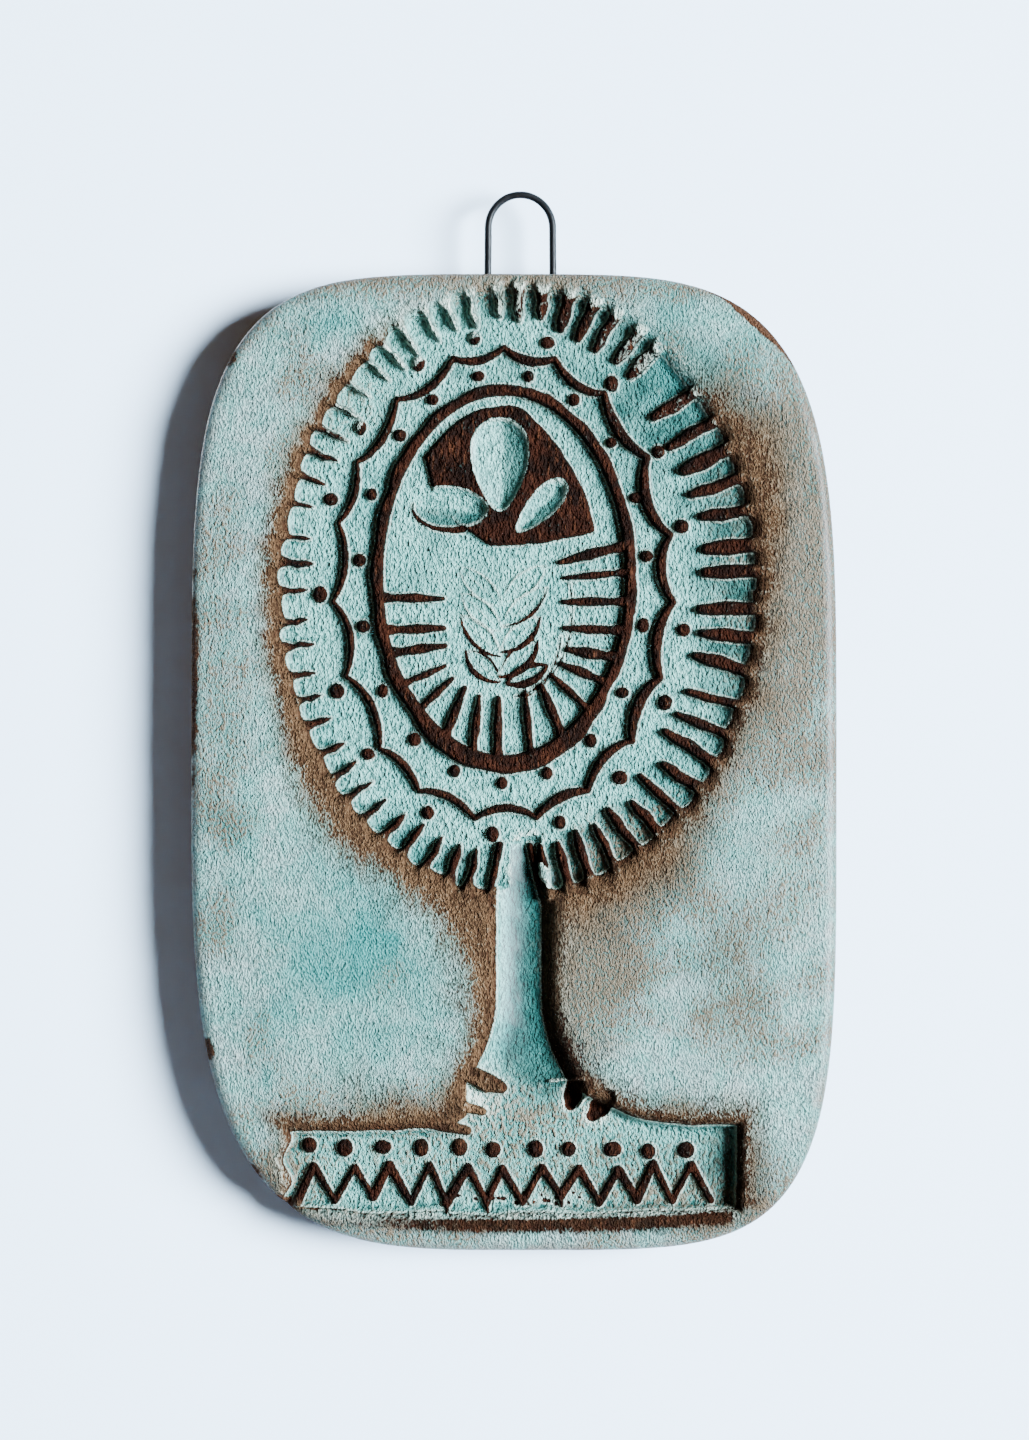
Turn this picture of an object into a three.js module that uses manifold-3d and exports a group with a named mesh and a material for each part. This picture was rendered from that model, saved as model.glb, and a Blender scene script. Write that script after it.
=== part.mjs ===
// Wall tile of glazed stoneware with a footed cup pressed into its face, and its wire loop.
// Millimetres. X right, Y from the face to the back, Z up. Zero is the nail point in the loop.
import * as THREE from "three";
import { mergeVertices } from "three/addons/utils/BufferGeometryUtils.js";
import Module from "manifold-3d";

const wasm = await Module();
wasm.setup();

// Slab
const TILE_W = 105;
const TILE_H = 158.8;
const TILE_T = 9.5;
const TILE_SHIFT_X = TILE_W * -0.0099;
const CORNER_POWERS = [4.0, 4.4, 3.5, 4.7];
const OUTLINE_STEPS = 80;
const EDGE_SOFT = TILE_T * 0.27;
const FACE_DOME = TILE_T * 0.095;

// Wire loop
const WIRE_D = 1.2;
const LOOP_RISE = 12.64;
const LEG_PITCH = 10.76;
const WIRE_GRIP = 9;
const HOLE_GAP = 0.35;
const WIRE_SIDES = 12;
const LOOP_STEPS = 16;

// Depths below the face, and heights of what stands up from the sunk floor
const CUP_DEPTH = TILE_T * 0.21;
const STEM_DEPTH = TILE_T * 0.32;
const FOOT_DEPTH_LEFT = TILE_T * 0.21;
const FOOT_DEPTH_RIGHT = TILE_T * 0.29;
const WALL_DRAFT = TILE_T * 0.12;
const ROOT = TILE_T * 0.053; // how far a raised form reaches into the clay below it
const PAST_FACE = TILE_T * 0.074; // how far a hollow's cutter stands out of the face
const BAR_DROP = CUP_DEPTH * 0.3;
const LINE_RISE = CUP_DEPTH * 0.52;
const DOT_RISE = CUP_DEPTH * 0.45;
const FINE_RISE = CUP_DEPTH * 0.34;

// Cup, given as shares of the slab
const CUP_HALF_W = TILE_W * 0.3625;
const CUP_HALF_H = TILE_H * 0.306;
const CUP_UP = TILE_H * 0.1755;
const CUP_SHIFT_X = TILE_W * 0.0062;
const BAR_COUNT = 60;
const BAR_W = TILE_W * 0.0155;
const BAR_LONG = TILE_W * 0.078;
const BAR_SHORT = TILE_W * 0.035;
const RINGS_SHIFT_X = TILE_W * -0.0154;
const RINGS_UP = TILE_H * 0.1803;
const OUTER_DOTS = 17;
const OUTER_DOT_HALF_W = TILE_W * 0.284;
const OUTER_DOT_HALF_H = TILE_H * 0.256;
const SCALLOPS = 19;
const SCALLOP_HALF_W = TILE_W * 0.261;
const SCALLOP_HALF_H = TILE_H * 0.242;
const SCALLOP_SAG = TILE_W * 0.0155;
const SCALLOP_LINE_W = TILE_W * 0.0158;
const INNER_DOTS = 19;
const INNER_DOT_HALF_W = TILE_W * 0.2222;
const INNER_DOT_HALF_H = TILE_H * 0.2102;
const DOT_R = TILE_W * 0.0112;
const OVAL_HALF_W = TILE_W * 0.196;
const OVAL_HALF_H = TILE_H * 0.1929;
const OVAL_LINE_W = TILE_W * 0.019;
const OVAL_UP = TILE_H * 0.1888;
const BASKET_UP = TILE_H * 0.157;
const BASKET_HALF_W = TILE_W * 0.096;
const BASKET_HALF_H = TILE_H * 0.0897;
const RAYS = 19;
const RAY_W = TILE_W * 0.0125;
const PANEL_LOW = TILE_H * 0.226;
const PANEL_GAP = TILE_W * 0.026;
const PETAL_L = TILE_H * 0.097;
const PETAL_W = TILE_W * 0.086;
const EAR_LEAVES = 5;
const EAR_LEAF_L = TILE_H * 0.046;
const EAR_LEAF_W = TILE_W * 0.027;

// Stem and foot, given as shares of the slab
const STEM_W = TILE_W * 0.069;
const STEM_SHIFT_X = TILE_W * 0.0075;
const STEM_WALL = STEM_DEPTH * 0.95;
const STEM_FLARE = TILE_W * 0.135;
const STEM_TOP = TILE_H * -0.079;
const FOOT_UP = TILE_H * -0.378;
const FOOT_LOW = TILE_H * -0.459;
const FOOT_LEFT = TILE_W * -0.35;
const FOOT_RIGHT = TILE_W * 0.349;
const FOOT_SHOULDER = TILE_H * 0.05;
const ANKLE_OUT = TILE_W * 0.06;
const ANKLE_UP = TILE_H * 0.051;
const ANKLE_STEP = TILE_W * 0.0276;
const FOOT_DOTS = 11;
const FOOT_DOT_R = TILE_W * 0.013;
const TEETH = 11;
const TOOTH_H = TILE_H * 0.036;
const TOOTH_W = TILE_W * 0.0085;

const FACE_Y = -TILE_T / 2;
const LOOP_R = LEG_PITCH / 2;
const SLAB_TOP = -LOOP_RISE;
const CENTRE_Z = SLAB_TOP - TILE_H / 2;

// A closed solid through rings of equal point counts, each point [x, y, z].
function loft(rings) {
  const n = rings[0].length;
  const at = [];
  for (const ring of rings) {
    for (const p of ring) at.push(p[0], p[1], p[2]);
  }
  const index = [];
  for (let r = 0; r + 1 < rings.length; r += 1) {
    for (let i = 0; i < n; i += 1) {
      const a = r * n + i;
      const b = r * n + ((i + 1) % n);
      index.push(a, b, a + n, b, b + n, a + n);
    }
  }
  const flat = (ring) => {
    const spanY = Math.max(...ring.map((p) => p[1])) - Math.min(...ring.map((p) => p[1]));
    const spanZ = Math.max(...ring.map((p) => p[2])) - Math.min(...ring.map((p) => p[2]));
    return ring.map((p) => new THREE.Vector2(p[0], spanY > spanZ ? p[1] : p[2]));
  };
  const first = THREE.ShapeUtils.triangulateShape(flat(rings[0]), []);
  const last = THREE.ShapeUtils.triangulateShape(flat(rings[rings.length - 1]), []);
  const base = (rings.length - 1) * n;
  const start = first.map((t) => [t[0], t[1], t[2]]);
  const end = last.map((t) => [t[0] + base, t[1] + base, t[2] + base]);
  const edges = new Set();
  for (let i = 0; i < index.length; i += 3) {
    for (let k = 0; k < 3; k += 1) edges.add(index[i + k] + "_" + index[i + ((k + 1) % 3)]);
  }
  for (const cap of [start, end]) {
    const clash = cap.some((t) => [0, 1, 2].some((k) => edges.has(t[k] + "_" + t[(k + 1) % 3])));
    for (const t of cap) index.push(...(clash ? [t[0], t[2], t[1]] : t));
  }
  const made = toManifold(at, index);
  return made.volume() < 0 ? toManifold(at, flip(index)) : made;
}

function flip(index) {
  const out = [];
  for (let i = 0; i < index.length; i += 3) out.push(index[i], index[i + 2], index[i + 1]);
  return out;
}

function signedVolume(at, index) {
  let sum = 0;
  for (let i = 0; i < index.length; i += 3) {
    const [a, b, c] = [index[i], index[i + 1], index[i + 2]].map((k) => at.slice(3 * k, 3 * k + 3));
    sum += a[0] * (b[1] * c[2] - b[2] * c[1]) - a[1] * (b[0] * c[2] - b[2] * c[0])
      + a[2] * (b[0] * c[1] - b[1] * c[0]);
  }
  return sum;
}

function toManifold(at, index) {
  const tris = signedVolume(at, index) < 0 ? flip(index) : index;
  const mesh = new wasm.Mesh({
    numProp: 3,
    vertProperties: new Float32Array(at),
    triVerts: new Uint32Array(tris),
  });
  return new wasm.Manifold(mesh);
}

function joinAll(solids) {
  let work = solids;
  while (work.length > 1) {
    const next = [];
    for (let i = 0; i < work.length; i += 2) {
      next.push(i + 1 < work.length ? work[i].add(work[i + 1]) : work[i]);
    }
    work = next;
  }
  return work[0];
}

function toGeometry(solid) {
  const mesh = solid.getMesh();
  const geometry = new THREE.BufferGeometry();
  const at = new Float32Array((mesh.vertProperties.length / mesh.numProp) * 3);
  for (let i = 0; i < at.length / 3; i += 1) {
    for (let k = 0; k < 3; k += 1) at[3 * i + k] = mesh.vertProperties[i * mesh.numProp + k];
  }
  geometry.setAttribute("position", new THREE.BufferAttribute(at, 3));
  geometry.setIndex(Array.from(mesh.triVerts));
  return mergeVertices(geometry, 1e-4);
}

// Points of the slab's outline, drawn in by an inset; each corner has its own power.
function slabOutline(inset) {
  const points = [];
  for (let i = 0; i < OUTLINE_STEPS; i += 1) {
    const t = (2 * Math.PI * i) / OUTLINE_STEPS;
    const power = CORNER_POWERS[Math.floor((4 * i) / OUTLINE_STEPS)];
    const c = Math.cos(t);
    const s = Math.sin(t);
    const x = Math.sign(c) * Math.abs(c) ** (2 / power) * (TILE_W / 2 - inset);
    const z = Math.sign(s) * Math.abs(s) ** (2 / power) * (TILE_H / 2 - inset);
    points.push([x + TILE_SHIFT_X, z + CENTRE_Z]);
  }
  return points;
}

function atDepth(points, y) {
  return points.map((p) => [p[0], y, p[1]]);
}

function ellipse(cx, cz, rx, rz, steps, fromAngle = 0, toAngle = 2 * Math.PI, open = false) {
  const points = [];
  for (let i = 0; i < steps; i += 1) {
    const t = fromAngle + ((toAngle - fromAngle) * i) / (open ? steps - 1 : steps);
    points.push([cx + rx * Math.cos(t), cz + rz * Math.sin(t)]);
  }
  return points;
}

// Offsets at each point of a path, so that a line drawn along it keeps its width at knees.
function mitres(path, closed) {
  const n = path.length;
  const normal = (a, b) => {
    const len = Math.hypot(b[0] - a[0], b[1] - a[1]) || 1;
    return [-(b[1] - a[1]) / len, (b[0] - a[0]) / len];
  };
  return path.map((p, i) => {
    const before = closed ? path[(i + n - 1) % n] : path[Math.max(i - 1, 0)];
    const after = closed ? path[(i + 1) % n] : path[Math.min(i + 1, n - 1)];
    const n1 = before === p ? normal(p, after) : normal(before, p);
    const n2 = after === p ? normal(before, p) : normal(p, after);
    const grow = Math.min(1 / (1 + n1[0] * n2[0] + n1[1] * n2[1]), 0.95);
    return [(n1[0] + n2[0]) * grow, (n1[1] + n2[1]) * grow];
  });
}

// A raised line along points [x, z]: narrower on top, tapered at its ends.
function ridge(path, width, topY, footY, blunt) {
  const offsets = mitres(path, false);
  const last = path.length - 1;
  const outline = (half) => {
    const w = (i) => (i === 0 || i === last ? half * blunt : half);
    const left = path.map((p, i) => [p[0] + offsets[i][0] * w(i), p[1] + offsets[i][1] * w(i)]);
    const right = path.map((p, i) => [p[0] - offsets[i][0] * w(i), p[1] - offsets[i][1] * w(i)]);
    return left.concat(right.reverse());
  };
  return loft([atDepth(outline(width / 2), footY), atDepth(outline(width * 0.31), topY)]);
}

// A raised line that closes on itself.
function closedRidge(path, width, topY, footY) {
  const offsets = mitres(path, true);
  const wall = (off, y) => {
    const moved = path.map((p, i) => [p[0] + offsets[i][0] * off, p[1] + offsets[i][1] * off]);
    return atDepth(moved, y);
  };
  const half = width / 2;
  const outer = loft([wall(-half, footY), wall(-half * 0.62, topY)]);
  const inner = loft([
    wall(half, footY + 0.3),
    wall(half, footY),
    wall(half * 0.62, topY),
    wall(half * 0.5, topY - 0.4),
  ]);
  return outer.subtract(inner);
}

function dome(x, z, radius, floorY, rise) {
  const ring = (r, y) => atDepth(ellipse(x, z, r, r, 6), y);
  return loft([
    ring(radius, floorY + 0.4),
    ring(radius * 0.95, floorY - rise * 0.35),
    ring(radius * 0.5, floorY - rise),
  ]);
}

// Slab with a softened front edge and a faintly domed face.
function slabBody() {
  const rings = [
    [0.5, FACE_Y + TILE_T],
    [0, FACE_Y + TILE_T - 0.6],
    [0, FACE_Y + EDGE_SOFT],
    [EDGE_SOFT * 0.16, FACE_Y + EDGE_SOFT * 0.62],
    [EDGE_SOFT * 0.6, FACE_Y + EDGE_SOFT * 0.38],
    [EDGE_SOFT * 2.4, FACE_Y + FACE_DOME * 0.45],
    [EDGE_SOFT * 5.2, FACE_Y],
  ];
  return loft(rings.map(([inset, y]) => atDepth(slabOutline(inset), y)));
}

// The sunk oval of the cup: its wall slopes out to the face.
function cupPocket(cx, cz) {
  const wall = (grow, y) => atDepth(ellipse(cx, cz, CUP_HALF_W + grow, CUP_HALF_H + grow, 64), y);
  return loft([
    wall(-WALL_DRAFT * 0.5, FACE_Y + CUP_DEPTH),
    wall(WALL_DRAFT * 0.25, FACE_Y + CUP_DEPTH * 0.35),
    wall(WALL_DRAFT * 1.3, FACE_Y + 0.12),
    wall(WALL_DRAFT * 2.2, FACE_Y - PAST_FACE),
  ]);
}

// How long each fringe bar is: short on the left and at the top, long on the right.
function barLength(angle) {
  const right = 0.5 + 0.5 * Math.cos(angle - 0.1);
  const top = Math.max(0, Math.sin(angle)) ** 8;
  return (BAR_SHORT + (BAR_LONG - BAR_SHORT) * right) * (1 - 0.35 * top);
}

function fringe(cx, cz) {
  const bars = [];
  for (let i = 0; i < BAR_COUNT; i += 1) {
    const t = (2 * Math.PI * (i + 0.5)) / BAR_COUNT;
    if (Math.abs(t - 1.5 * Math.PI) < 0.09) continue;
    const c = Math.cos(t);
    const s = Math.sin(t);
    const lean = -0.12 * Math.sin(2 * t);
    const outer = [cx + c * (CUP_HALF_W + 0.6), cz + s * (CUP_HALF_H + 0.6)];
    const way = [c * Math.cos(lean) - s * Math.sin(lean), s * Math.cos(lean) + c * Math.sin(lean)];
    const long = barLength(t) * (1 + 0.1 * Math.sin(7 * i));
    const inner = [outer[0] - way[0] * long, outer[1] - way[1] * long];
    const topY = FACE_Y + BAR_DROP;
    const width = BAR_W * (0.9 + 0.15 * Math.sin(5 * i));
    bars.push(ridge([inner, outer], width, topY, FACE_Y + CUP_DEPTH + ROOT, 0.5));
  }
  return bars;
}

function dotRing(cx, cz, rx, rz, count, radius, floorY, turn) {
  const dots = [];
  for (let i = 0; i < count; i += 1) {
    const t = turn + (2 * Math.PI * i) / count;
    const x = cx + rx * Math.cos(t);
    const z = cz + rz * Math.sin(t);
    dots.push(dome(x, z, radius, floorY, DOT_RISE));
  }
  return dots;
}

// A ring of hanging arcs that meet in outward points.
function scallopLine(cx, cz, floorY) {
  const path = [];
  for (let i = 0; i < SCALLOPS * 4; i += 1) {
    const t = Math.PI / 2 + (2 * Math.PI * i) / (SCALLOPS * 4);
    const sag = SCALLOP_SAG * Math.sin((Math.PI * (i % 4)) / 4);
    path.push([cx + (SCALLOP_HALF_W - sag) * Math.cos(t), cz + (SCALLOP_HALF_H - sag) * Math.sin(t)]);
  }
  return closedRidge(path, SCALLOP_LINE_W, floorY - LINE_RISE, floorY + ROOT);
}

function ovalLine(cx, cz, floorY) {
  const half = OVAL_LINE_W / 2;
  const topY = floorY - LINE_RISE * 1.15;
  const wall = (grow, y, low) => {
    const points = ellipse(cx, cz, OVAL_HALF_W + grow, OVAL_HALF_H + grow, 44);
    return atDepth(points, y).map((p) => [p[0], p[1], p[2] + (p[2] < cz ? low : 0)]);
  };
  const outer = loft([wall(half, floorY + ROOT, 0), wall(half * 0.6, topY, 0)]);
  const inner = loft([
    wall(-half * 1.15, floorY + 0.9, half * 0.8),
    wall(-half, floorY, half * 0.8),
    wall(-half * 0.6, topY - 0.5, half * 0.8),
  ]);
  return outer.subtract(inner);
}

// Raised panel at the top of the oval with three petals sunk into it.
function petalPanel(cx, cz, floorY) {
  const low = CENTRE_Z + PANEL_LOW;
  const rx = OVAL_HALF_W - PANEL_GAP;
  const rz = OVAL_HALF_H - PANEL_GAP;
  const side = Math.asin((low + PETAL_W * 0.5 - cz) / rz);
  const points = ellipse(cx, cz, rx, rz, 22, side, Math.PI - side, true);
  for (let i = 1; i < 7; i += 1) {
    const t = i / 7;
    const from = points[21];
    const sag = PETAL_W * 0.62 * Math.sin(Math.PI * t);
    points.push([from[0] + (points[0][0] - from[0]) * t, from[1] + (points[0][1] - from[1]) * t - sag]);
  }
  const topY = floorY - LINE_RISE;
  const midZ = cz + OVAL_HALF_H * 0.5;
  const shrink = points.map((p) => [cx + (p[0] - cx) * 0.97, midZ + (p[1] - midZ) * 0.96]);
  let panel = loft([atDepth(points, floorY + ROOT), atDepth(shrink, topY)]);
  const sideZ = low + PETAL_L * 0.35;
  const middleX = cx - TILE_W * 0.006;
  const leftX = cx - TILE_W * 0.082;
  const rightX = cx + TILE_W * 0.056;
  const petals = [
    petal(middleX, low + PETAL_L * 0.8, PETAL_W * 0.5, PETAL_L * 0.5, Math.PI / 2, 0.35, floorY, topY),
    petal(leftX, sideZ, PETAL_W * 0.38, PETAL_L * 0.36, Math.PI - 0.12, 0.0, floorY, topY),
    petal(rightX, sideZ, PETAL_W * 0.25, PETAL_L * 0.35, 0.78, 0.3, floorY, topY),
  ];
  for (const sunk of petals) panel = panel.subtract(sunk);
  return panel;
}

// A petal-shaped dimple with a sloping bowl; taper above zero narrows its near end.
function petal(x, z, halfW, halfL, angle, taper, floorY, topY) {
  const outline = (scale) => {
    const points = [];
    for (let i = 0; i < 16; i += 1) {
      const t = (2 * Math.PI * i) / 16;
      const along = halfL * Math.cos(t) * scale;
      const across = halfW * Math.sin(t) * scale * (1 + taper * Math.cos(t));
      points.push([
        x + along * Math.cos(angle) - across * Math.sin(angle),
        z + along * Math.sin(angle) + across * Math.cos(angle),
      ]);
    }
    return points;
  };
  const deep = floorY - (floorY - topY) * 0.1;
  return loft([
    atDepth(outline(0.45), deep),
    atDepth(outline(0.95), topY + (floorY - topY) * 0.2),
    atDepth(outline(1.06), topY - 0.4),
  ]);
}

// Rays fan out between an inner oval and the oval line, below the petal panel.
function basketRays(cx, cz, floorY) {
  const rays = [];
  const midZ = CENTRE_Z + BASKET_UP;
  for (let i = 0; i < RAYS; i += 1) {
    const t = Math.PI * (-1.03 + (1.19 * i) / (RAYS - 1));
    const inner = [cx + BASKET_HALF_W * Math.cos(t), midZ + BASKET_HALF_H * Math.sin(t) * 0.98];
    let reach = 0;
    while (((inner[0] + reach * Math.cos(t) - cx) / OVAL_HALF_W) ** 2
      + ((inner[1] + reach * Math.sin(t) - cz) / OVAL_HALF_H) ** 2 < 0.97) reach += 0.25;
    const tip = [inner[0] + reach * Math.cos(t), inner[1] + reach * Math.sin(t)];
    const width = RAY_W * (0.92 + 0.16 * Math.sin(3 * i));
    rays.push(ridge([inner, tip], width, floorY - LINE_RISE * 0.85, floorY + ROOT, 0.4));
  }
  return rays;
}

// A wheat ear inside the basket: pairs of slim leaves on a short stalk.
function wheatEar(cx, floorY) {
  const parts = [];
  const foot = CENTRE_Z + BASKET_UP - BASKET_HALF_H * 0.86;
  for (let i = 0; i < EAR_LEAVES; i += 1) {
    const z = foot + EAR_LEAF_L * (0.2 + 0.5 * i);
    for (const way of [-1, 1]) {
      const angle = Math.PI / 2 - way * 0.82;
      const x = cx + way * EAR_LEAF_L * 0.42;
      parts.push(earLeaf(x, z + EAR_LEAF_L * 0.32, angle, floorY));
    }
  }
  const stalk = [[cx, foot - EAR_LEAF_L * 0.2], [cx, foot + EAR_LEAF_L * 2.3]];
  parts.push(ridge(stalk, TOOTH_W, floorY - FINE_RISE * 0.8, floorY + ROOT, 0.5));
  return parts;
}

function earLeaf(x, z, angle, floorY) {
  const outline = (scale) => {
    const points = [];
    for (let i = 0; i < 10; i += 1) {
      const t = (2 * Math.PI * i) / 10;
      const along = (EAR_LEAF_L / 2) * Math.cos(t) * scale;
      const across = (EAR_LEAF_W / 2) * Math.sin(t) * scale;
      points.push([
        x + along * Math.cos(angle) - across * Math.sin(angle),
        z + along * Math.sin(angle) + across * Math.cos(angle),
      ]);
    }
    return points;
  };
  return loft([atDepth(outline(1), floorY + ROOT), atDepth(outline(0.6), floorY - FINE_RISE)]);
}

// The stem: a hollow trough, deepest along its right side, that flares into the foot.
function stemTrough() {
  const rings = [];
  const top = CENTRE_Z + STEM_TOP;
  const low = CENTRE_Z + FOOT_UP - TILE_H * 0.012;
  const stations = 14;
  for (let i = 0; i <= stations; i += 1) {
    const u = i / stations;
    const z = top + (low - top) * u;
    const flare = Math.max(0, (u - 0.42) / 0.58) ** 3;
    const waist = 0.82 + 0.15 * Math.sin(Math.PI * Math.min(u * 1.1, 1));
    const half = (STEM_W * waist + STEM_FLARE * flare) / 2;
    const cx = TILE_SHIFT_X + STEM_SHIFT_X;
    const ring = [
      [cx + half + STEM_WALL * 1.2, FACE_Y - PAST_FACE, z],
      [cx + half + STEM_WALL * 0.5, FACE_Y + STEM_DEPTH * 0.3, z],
    ];
    for (let k = 0; k <= 7; k += 1) {
      const share = 1 - k / 7;
      const down = 0.3 + 0.7 * (1 - (1 - Math.min(share / 0.82, 1)) ** 1.7);
      ring.push([cx - half + 2 * half * share, FACE_Y + STEM_DEPTH * down, z]);
    }
    ring.push([cx - half - STEM_WALL * 0.6, FACE_Y - PAST_FACE, z]);
    rings.push(ring);
  }
  return loft(rings);
}

// The sunk band of the foot, deeper to the right, its left end soft and its right end steep.
function footPocket() {
  const outline = (grow) => {
    const up = CENTRE_Z + FOOT_UP + grow;
    const low = CENTRE_Z + FOOT_LOW - grow;
    const left = TILE_SHIFT_X + FOOT_LEFT - grow;
    const right = TILE_SHIFT_X + FOOT_RIGHT + grow * 0.4;
    const mid = TILE_SHIFT_X + STEM_SHIFT_X;
    const middleZ = (up + low) / 2;
    const points = [
      [left, up - TILE_H * 0.008],
      [left - TILE_W * 0.004, middleZ],
      [left + TILE_W * 0.008, low + TILE_H * 0.01],
    ];
    for (let i = 1; i <= 7; i += 1) {
      const sag = TILE_H * 0.004 * Math.sin((Math.PI * i) / 8);
      points.push([left + ((right - left) * i) / 8, low - sag]);
    }
    points.push(
      [right, low + TILE_H * 0.003],
      [right + TILE_W * 0.002, middleZ],
      [right - TILE_W * 0.002, up - TILE_H * 0.005],
    );
    const shoulderX = mid + STEM_FLARE * 0.42;
    for (let i = 1; i <= 5; i += 1) {
      const t = i / 6;
      points.push([right + (shoulderX - right) * t, up + FOOT_SHOULDER * t ** 1.8]);
    }
    points.push(
      [mid, up + FOOT_SHOULDER * 1.05],
      [mid - STEM_FLARE * 0.42, up + TILE_H * 0.026],
      [mid - STEM_FLARE * 0.9, up + TILE_H * 0.006],
      [mid - STEM_FLARE * 1.8, up + TILE_H * 0.001],
    );
    return points;
  };
  const floor = outline(-WALL_DRAFT * 0.3).map((p) => {
    const u = (p[0] - TILE_SHIFT_X - FOOT_LEFT) / (FOOT_RIGHT - FOOT_LEFT);
    return [p[0], FACE_Y + FOOT_DEPTH_LEFT + (FOOT_DEPTH_RIGHT - FOOT_DEPTH_LEFT) * u, p[1]];
  });
  return loft([
    floor,
    atDepth(outline(WALL_DRAFT * 0.6), FACE_Y + 0.3),
    atDepth(outline(WALL_DRAFT * 1.5), FACE_Y - PAST_FACE),
  ]);
}

function footFloorY(x) {
  const u = (x - TILE_SHIFT_X - FOOT_LEFT) / (FOOT_RIGHT - FOOT_LEFT);
  return FACE_Y + FOOT_DEPTH_LEFT + (FOOT_DEPTH_RIGHT - FOOT_DEPTH_LEFT) * u;
}

function footMarks() {
  const marks = [];
  const span = FOOT_RIGHT - FOOT_LEFT;
  for (let i = 0; i < FOOT_DOTS; i += 1) {
    const x = TILE_SHIFT_X + FOOT_LEFT + span * (0.046 + (0.84 * i) / (FOOT_DOTS - 1));
    const z = CENTRE_Z + FOOT_UP - TILE_H * (0.0135 + 0.0015 * Math.sin(2 * i));
    marks.push(dome(x, z, FOOT_DOT_R, footFloorY(x), DOT_RISE));
  }
  const low = CENTRE_Z + FOOT_LOW + TILE_H * 0.014;
  const path = [];
  for (let k = 0; k <= TEETH * 2; k += 1) {
    const x = TILE_SHIFT_X + FOOT_LEFT + span * (0.022 + (0.925 * k) / (TEETH * 2));
    const wave = k % 2 ? 0.82 + 0.1 * Math.sin(3 * k) : 0.06 * Math.sin(5 * k);
    path.push([x, low + TOOTH_H * wave]);
  }
  const teeth = ridge(path, TOOTH_W, 0, FOOT_DEPTH_RIGHT, 0.5);
  marks.push(teeth.warp((v) => {
    const floorY = footFloorY(v[0]);
    v[1] = v[1] < 0.001 ? floorY - FINE_RISE : floorY + ROOT;
  }));
  return marks;
}

// Short bars on both sides where the stem meets the foot.
function ankleBars() {
  const bars = [];
  const mid = TILE_SHIFT_X + STEM_SHIFT_X * 2;
  const base = CENTRE_Z + FOOT_UP;
  for (const way of [-1, 1]) {
    for (let i = 0; i < 3; i += 1) {
      const x = mid + way * (ANKLE_OUT + ANKLE_STEP * i);
      const z = base + ANKLE_UP - ANKLE_STEP * i;
      const path = [[x - way * 1.6, z - 1.1], [x + way * 2.2, z + 0.9]];
      bars.push(ridge(path, BAR_W * 1.1, FACE_Y + BAR_DROP * 1.6, FACE_Y + STEM_DEPTH + 0.4, 0.5));
    }
  }
  return bars;
}

function wireHole(x) {
  const r = WIRE_D / 2 + HOLE_GAP;
  const ring = (z) => {
    const points = [];
    for (let i = 0; i < WIRE_SIDES; i += 1) {
      const t = (2 * Math.PI * (i + 0.5)) / WIRE_SIDES;
      points.push([x + r * Math.cos(t), r * Math.sin(t), z]);
    }
    return points;
  };
  return loft([ring(SLAB_TOP - WIRE_GRIP - HOLE_GAP), ring(SLAB_TOP + 1)]);
}

function tileBody() {
  const cx = TILE_SHIFT_X + CUP_SHIFT_X;
  const cz = CENTRE_Z + CUP_UP;
  const ringX = TILE_SHIFT_X + RINGS_SHIFT_X;
  const ringZ = CENTRE_Z + RINGS_UP;
  const floorY = FACE_Y + CUP_DEPTH;
  let body = slabBody().subtract(cupPocket(cx, cz));
  body = body.subtract(stemTrough()).subtract(footPocket());
  const raised = [
    ...fringe(cx, cz),
    ...dotRing(ringX, ringZ, OUTER_DOT_HALF_W, OUTER_DOT_HALF_H, OUTER_DOTS, DOT_R * 1.15, floorY, 0.16),
    scallopLine(ringX, ringZ, floorY),
    ...dotRing(ringX, ringZ, INNER_DOT_HALF_W, INNER_DOT_HALF_H, INNER_DOTS, DOT_R, floorY, 0.02),
    ovalLine(ringX, CENTRE_Z + OVAL_UP, floorY),
    petalPanel(ringX, CENTRE_Z + OVAL_UP, floorY),
    ...basketRays(ringX, CENTRE_Z + OVAL_UP, floorY),
    ...wheatEar(ringX + TILE_W * 0.003, floorY),
    ...footMarks(),
    ...ankleBars(),
  ];
  body = body.add(joinAll(raised));
  for (const side of [-1, 1]) body = body.subtract(wireHole(side * LOOP_R));
  return body;
}

// Two straight legs joined by a half circle, round in section.
function wireLoop() {
  const centreZ = WIRE_D / 2 - LOOP_R;
  const ring = (x, z, lean) => {
    const points = [];
    for (let i = 0; i < WIRE_SIDES; i += 1) {
      const t = (2 * Math.PI * i) / WIRE_SIDES;
      const out = (WIRE_D / 2) * Math.cos(t);
      points.push([x + out * Math.cos(lean), (WIRE_D / 2) * Math.sin(t), z + out * Math.sin(lean)]);
    }
    return points;
  };
  const rings = [ring(-LOOP_R, SLAB_TOP - WIRE_GRIP, Math.PI)];
  for (let i = 0; i <= LOOP_STEPS; i += 1) {
    const a = Math.PI - (Math.PI * i) / LOOP_STEPS;
    rings.push(ring(LOOP_R * Math.cos(a), centreZ + LOOP_R * Math.sin(a), a));
  }
  rings.push(ring(LOOP_R, SLAB_TOP - WIRE_GRIP, 0));
  return toGeometry(loft(rings));
}

const glaze = new THREE.MeshStandardMaterial({ color: 0x9fc4bd, roughness: 0.62, metalness: 0 });
const darkWire = new THREE.MeshStandardMaterial({ color: 0x15161a, roughness: 0.4, metalness: 0.6 });

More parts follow.
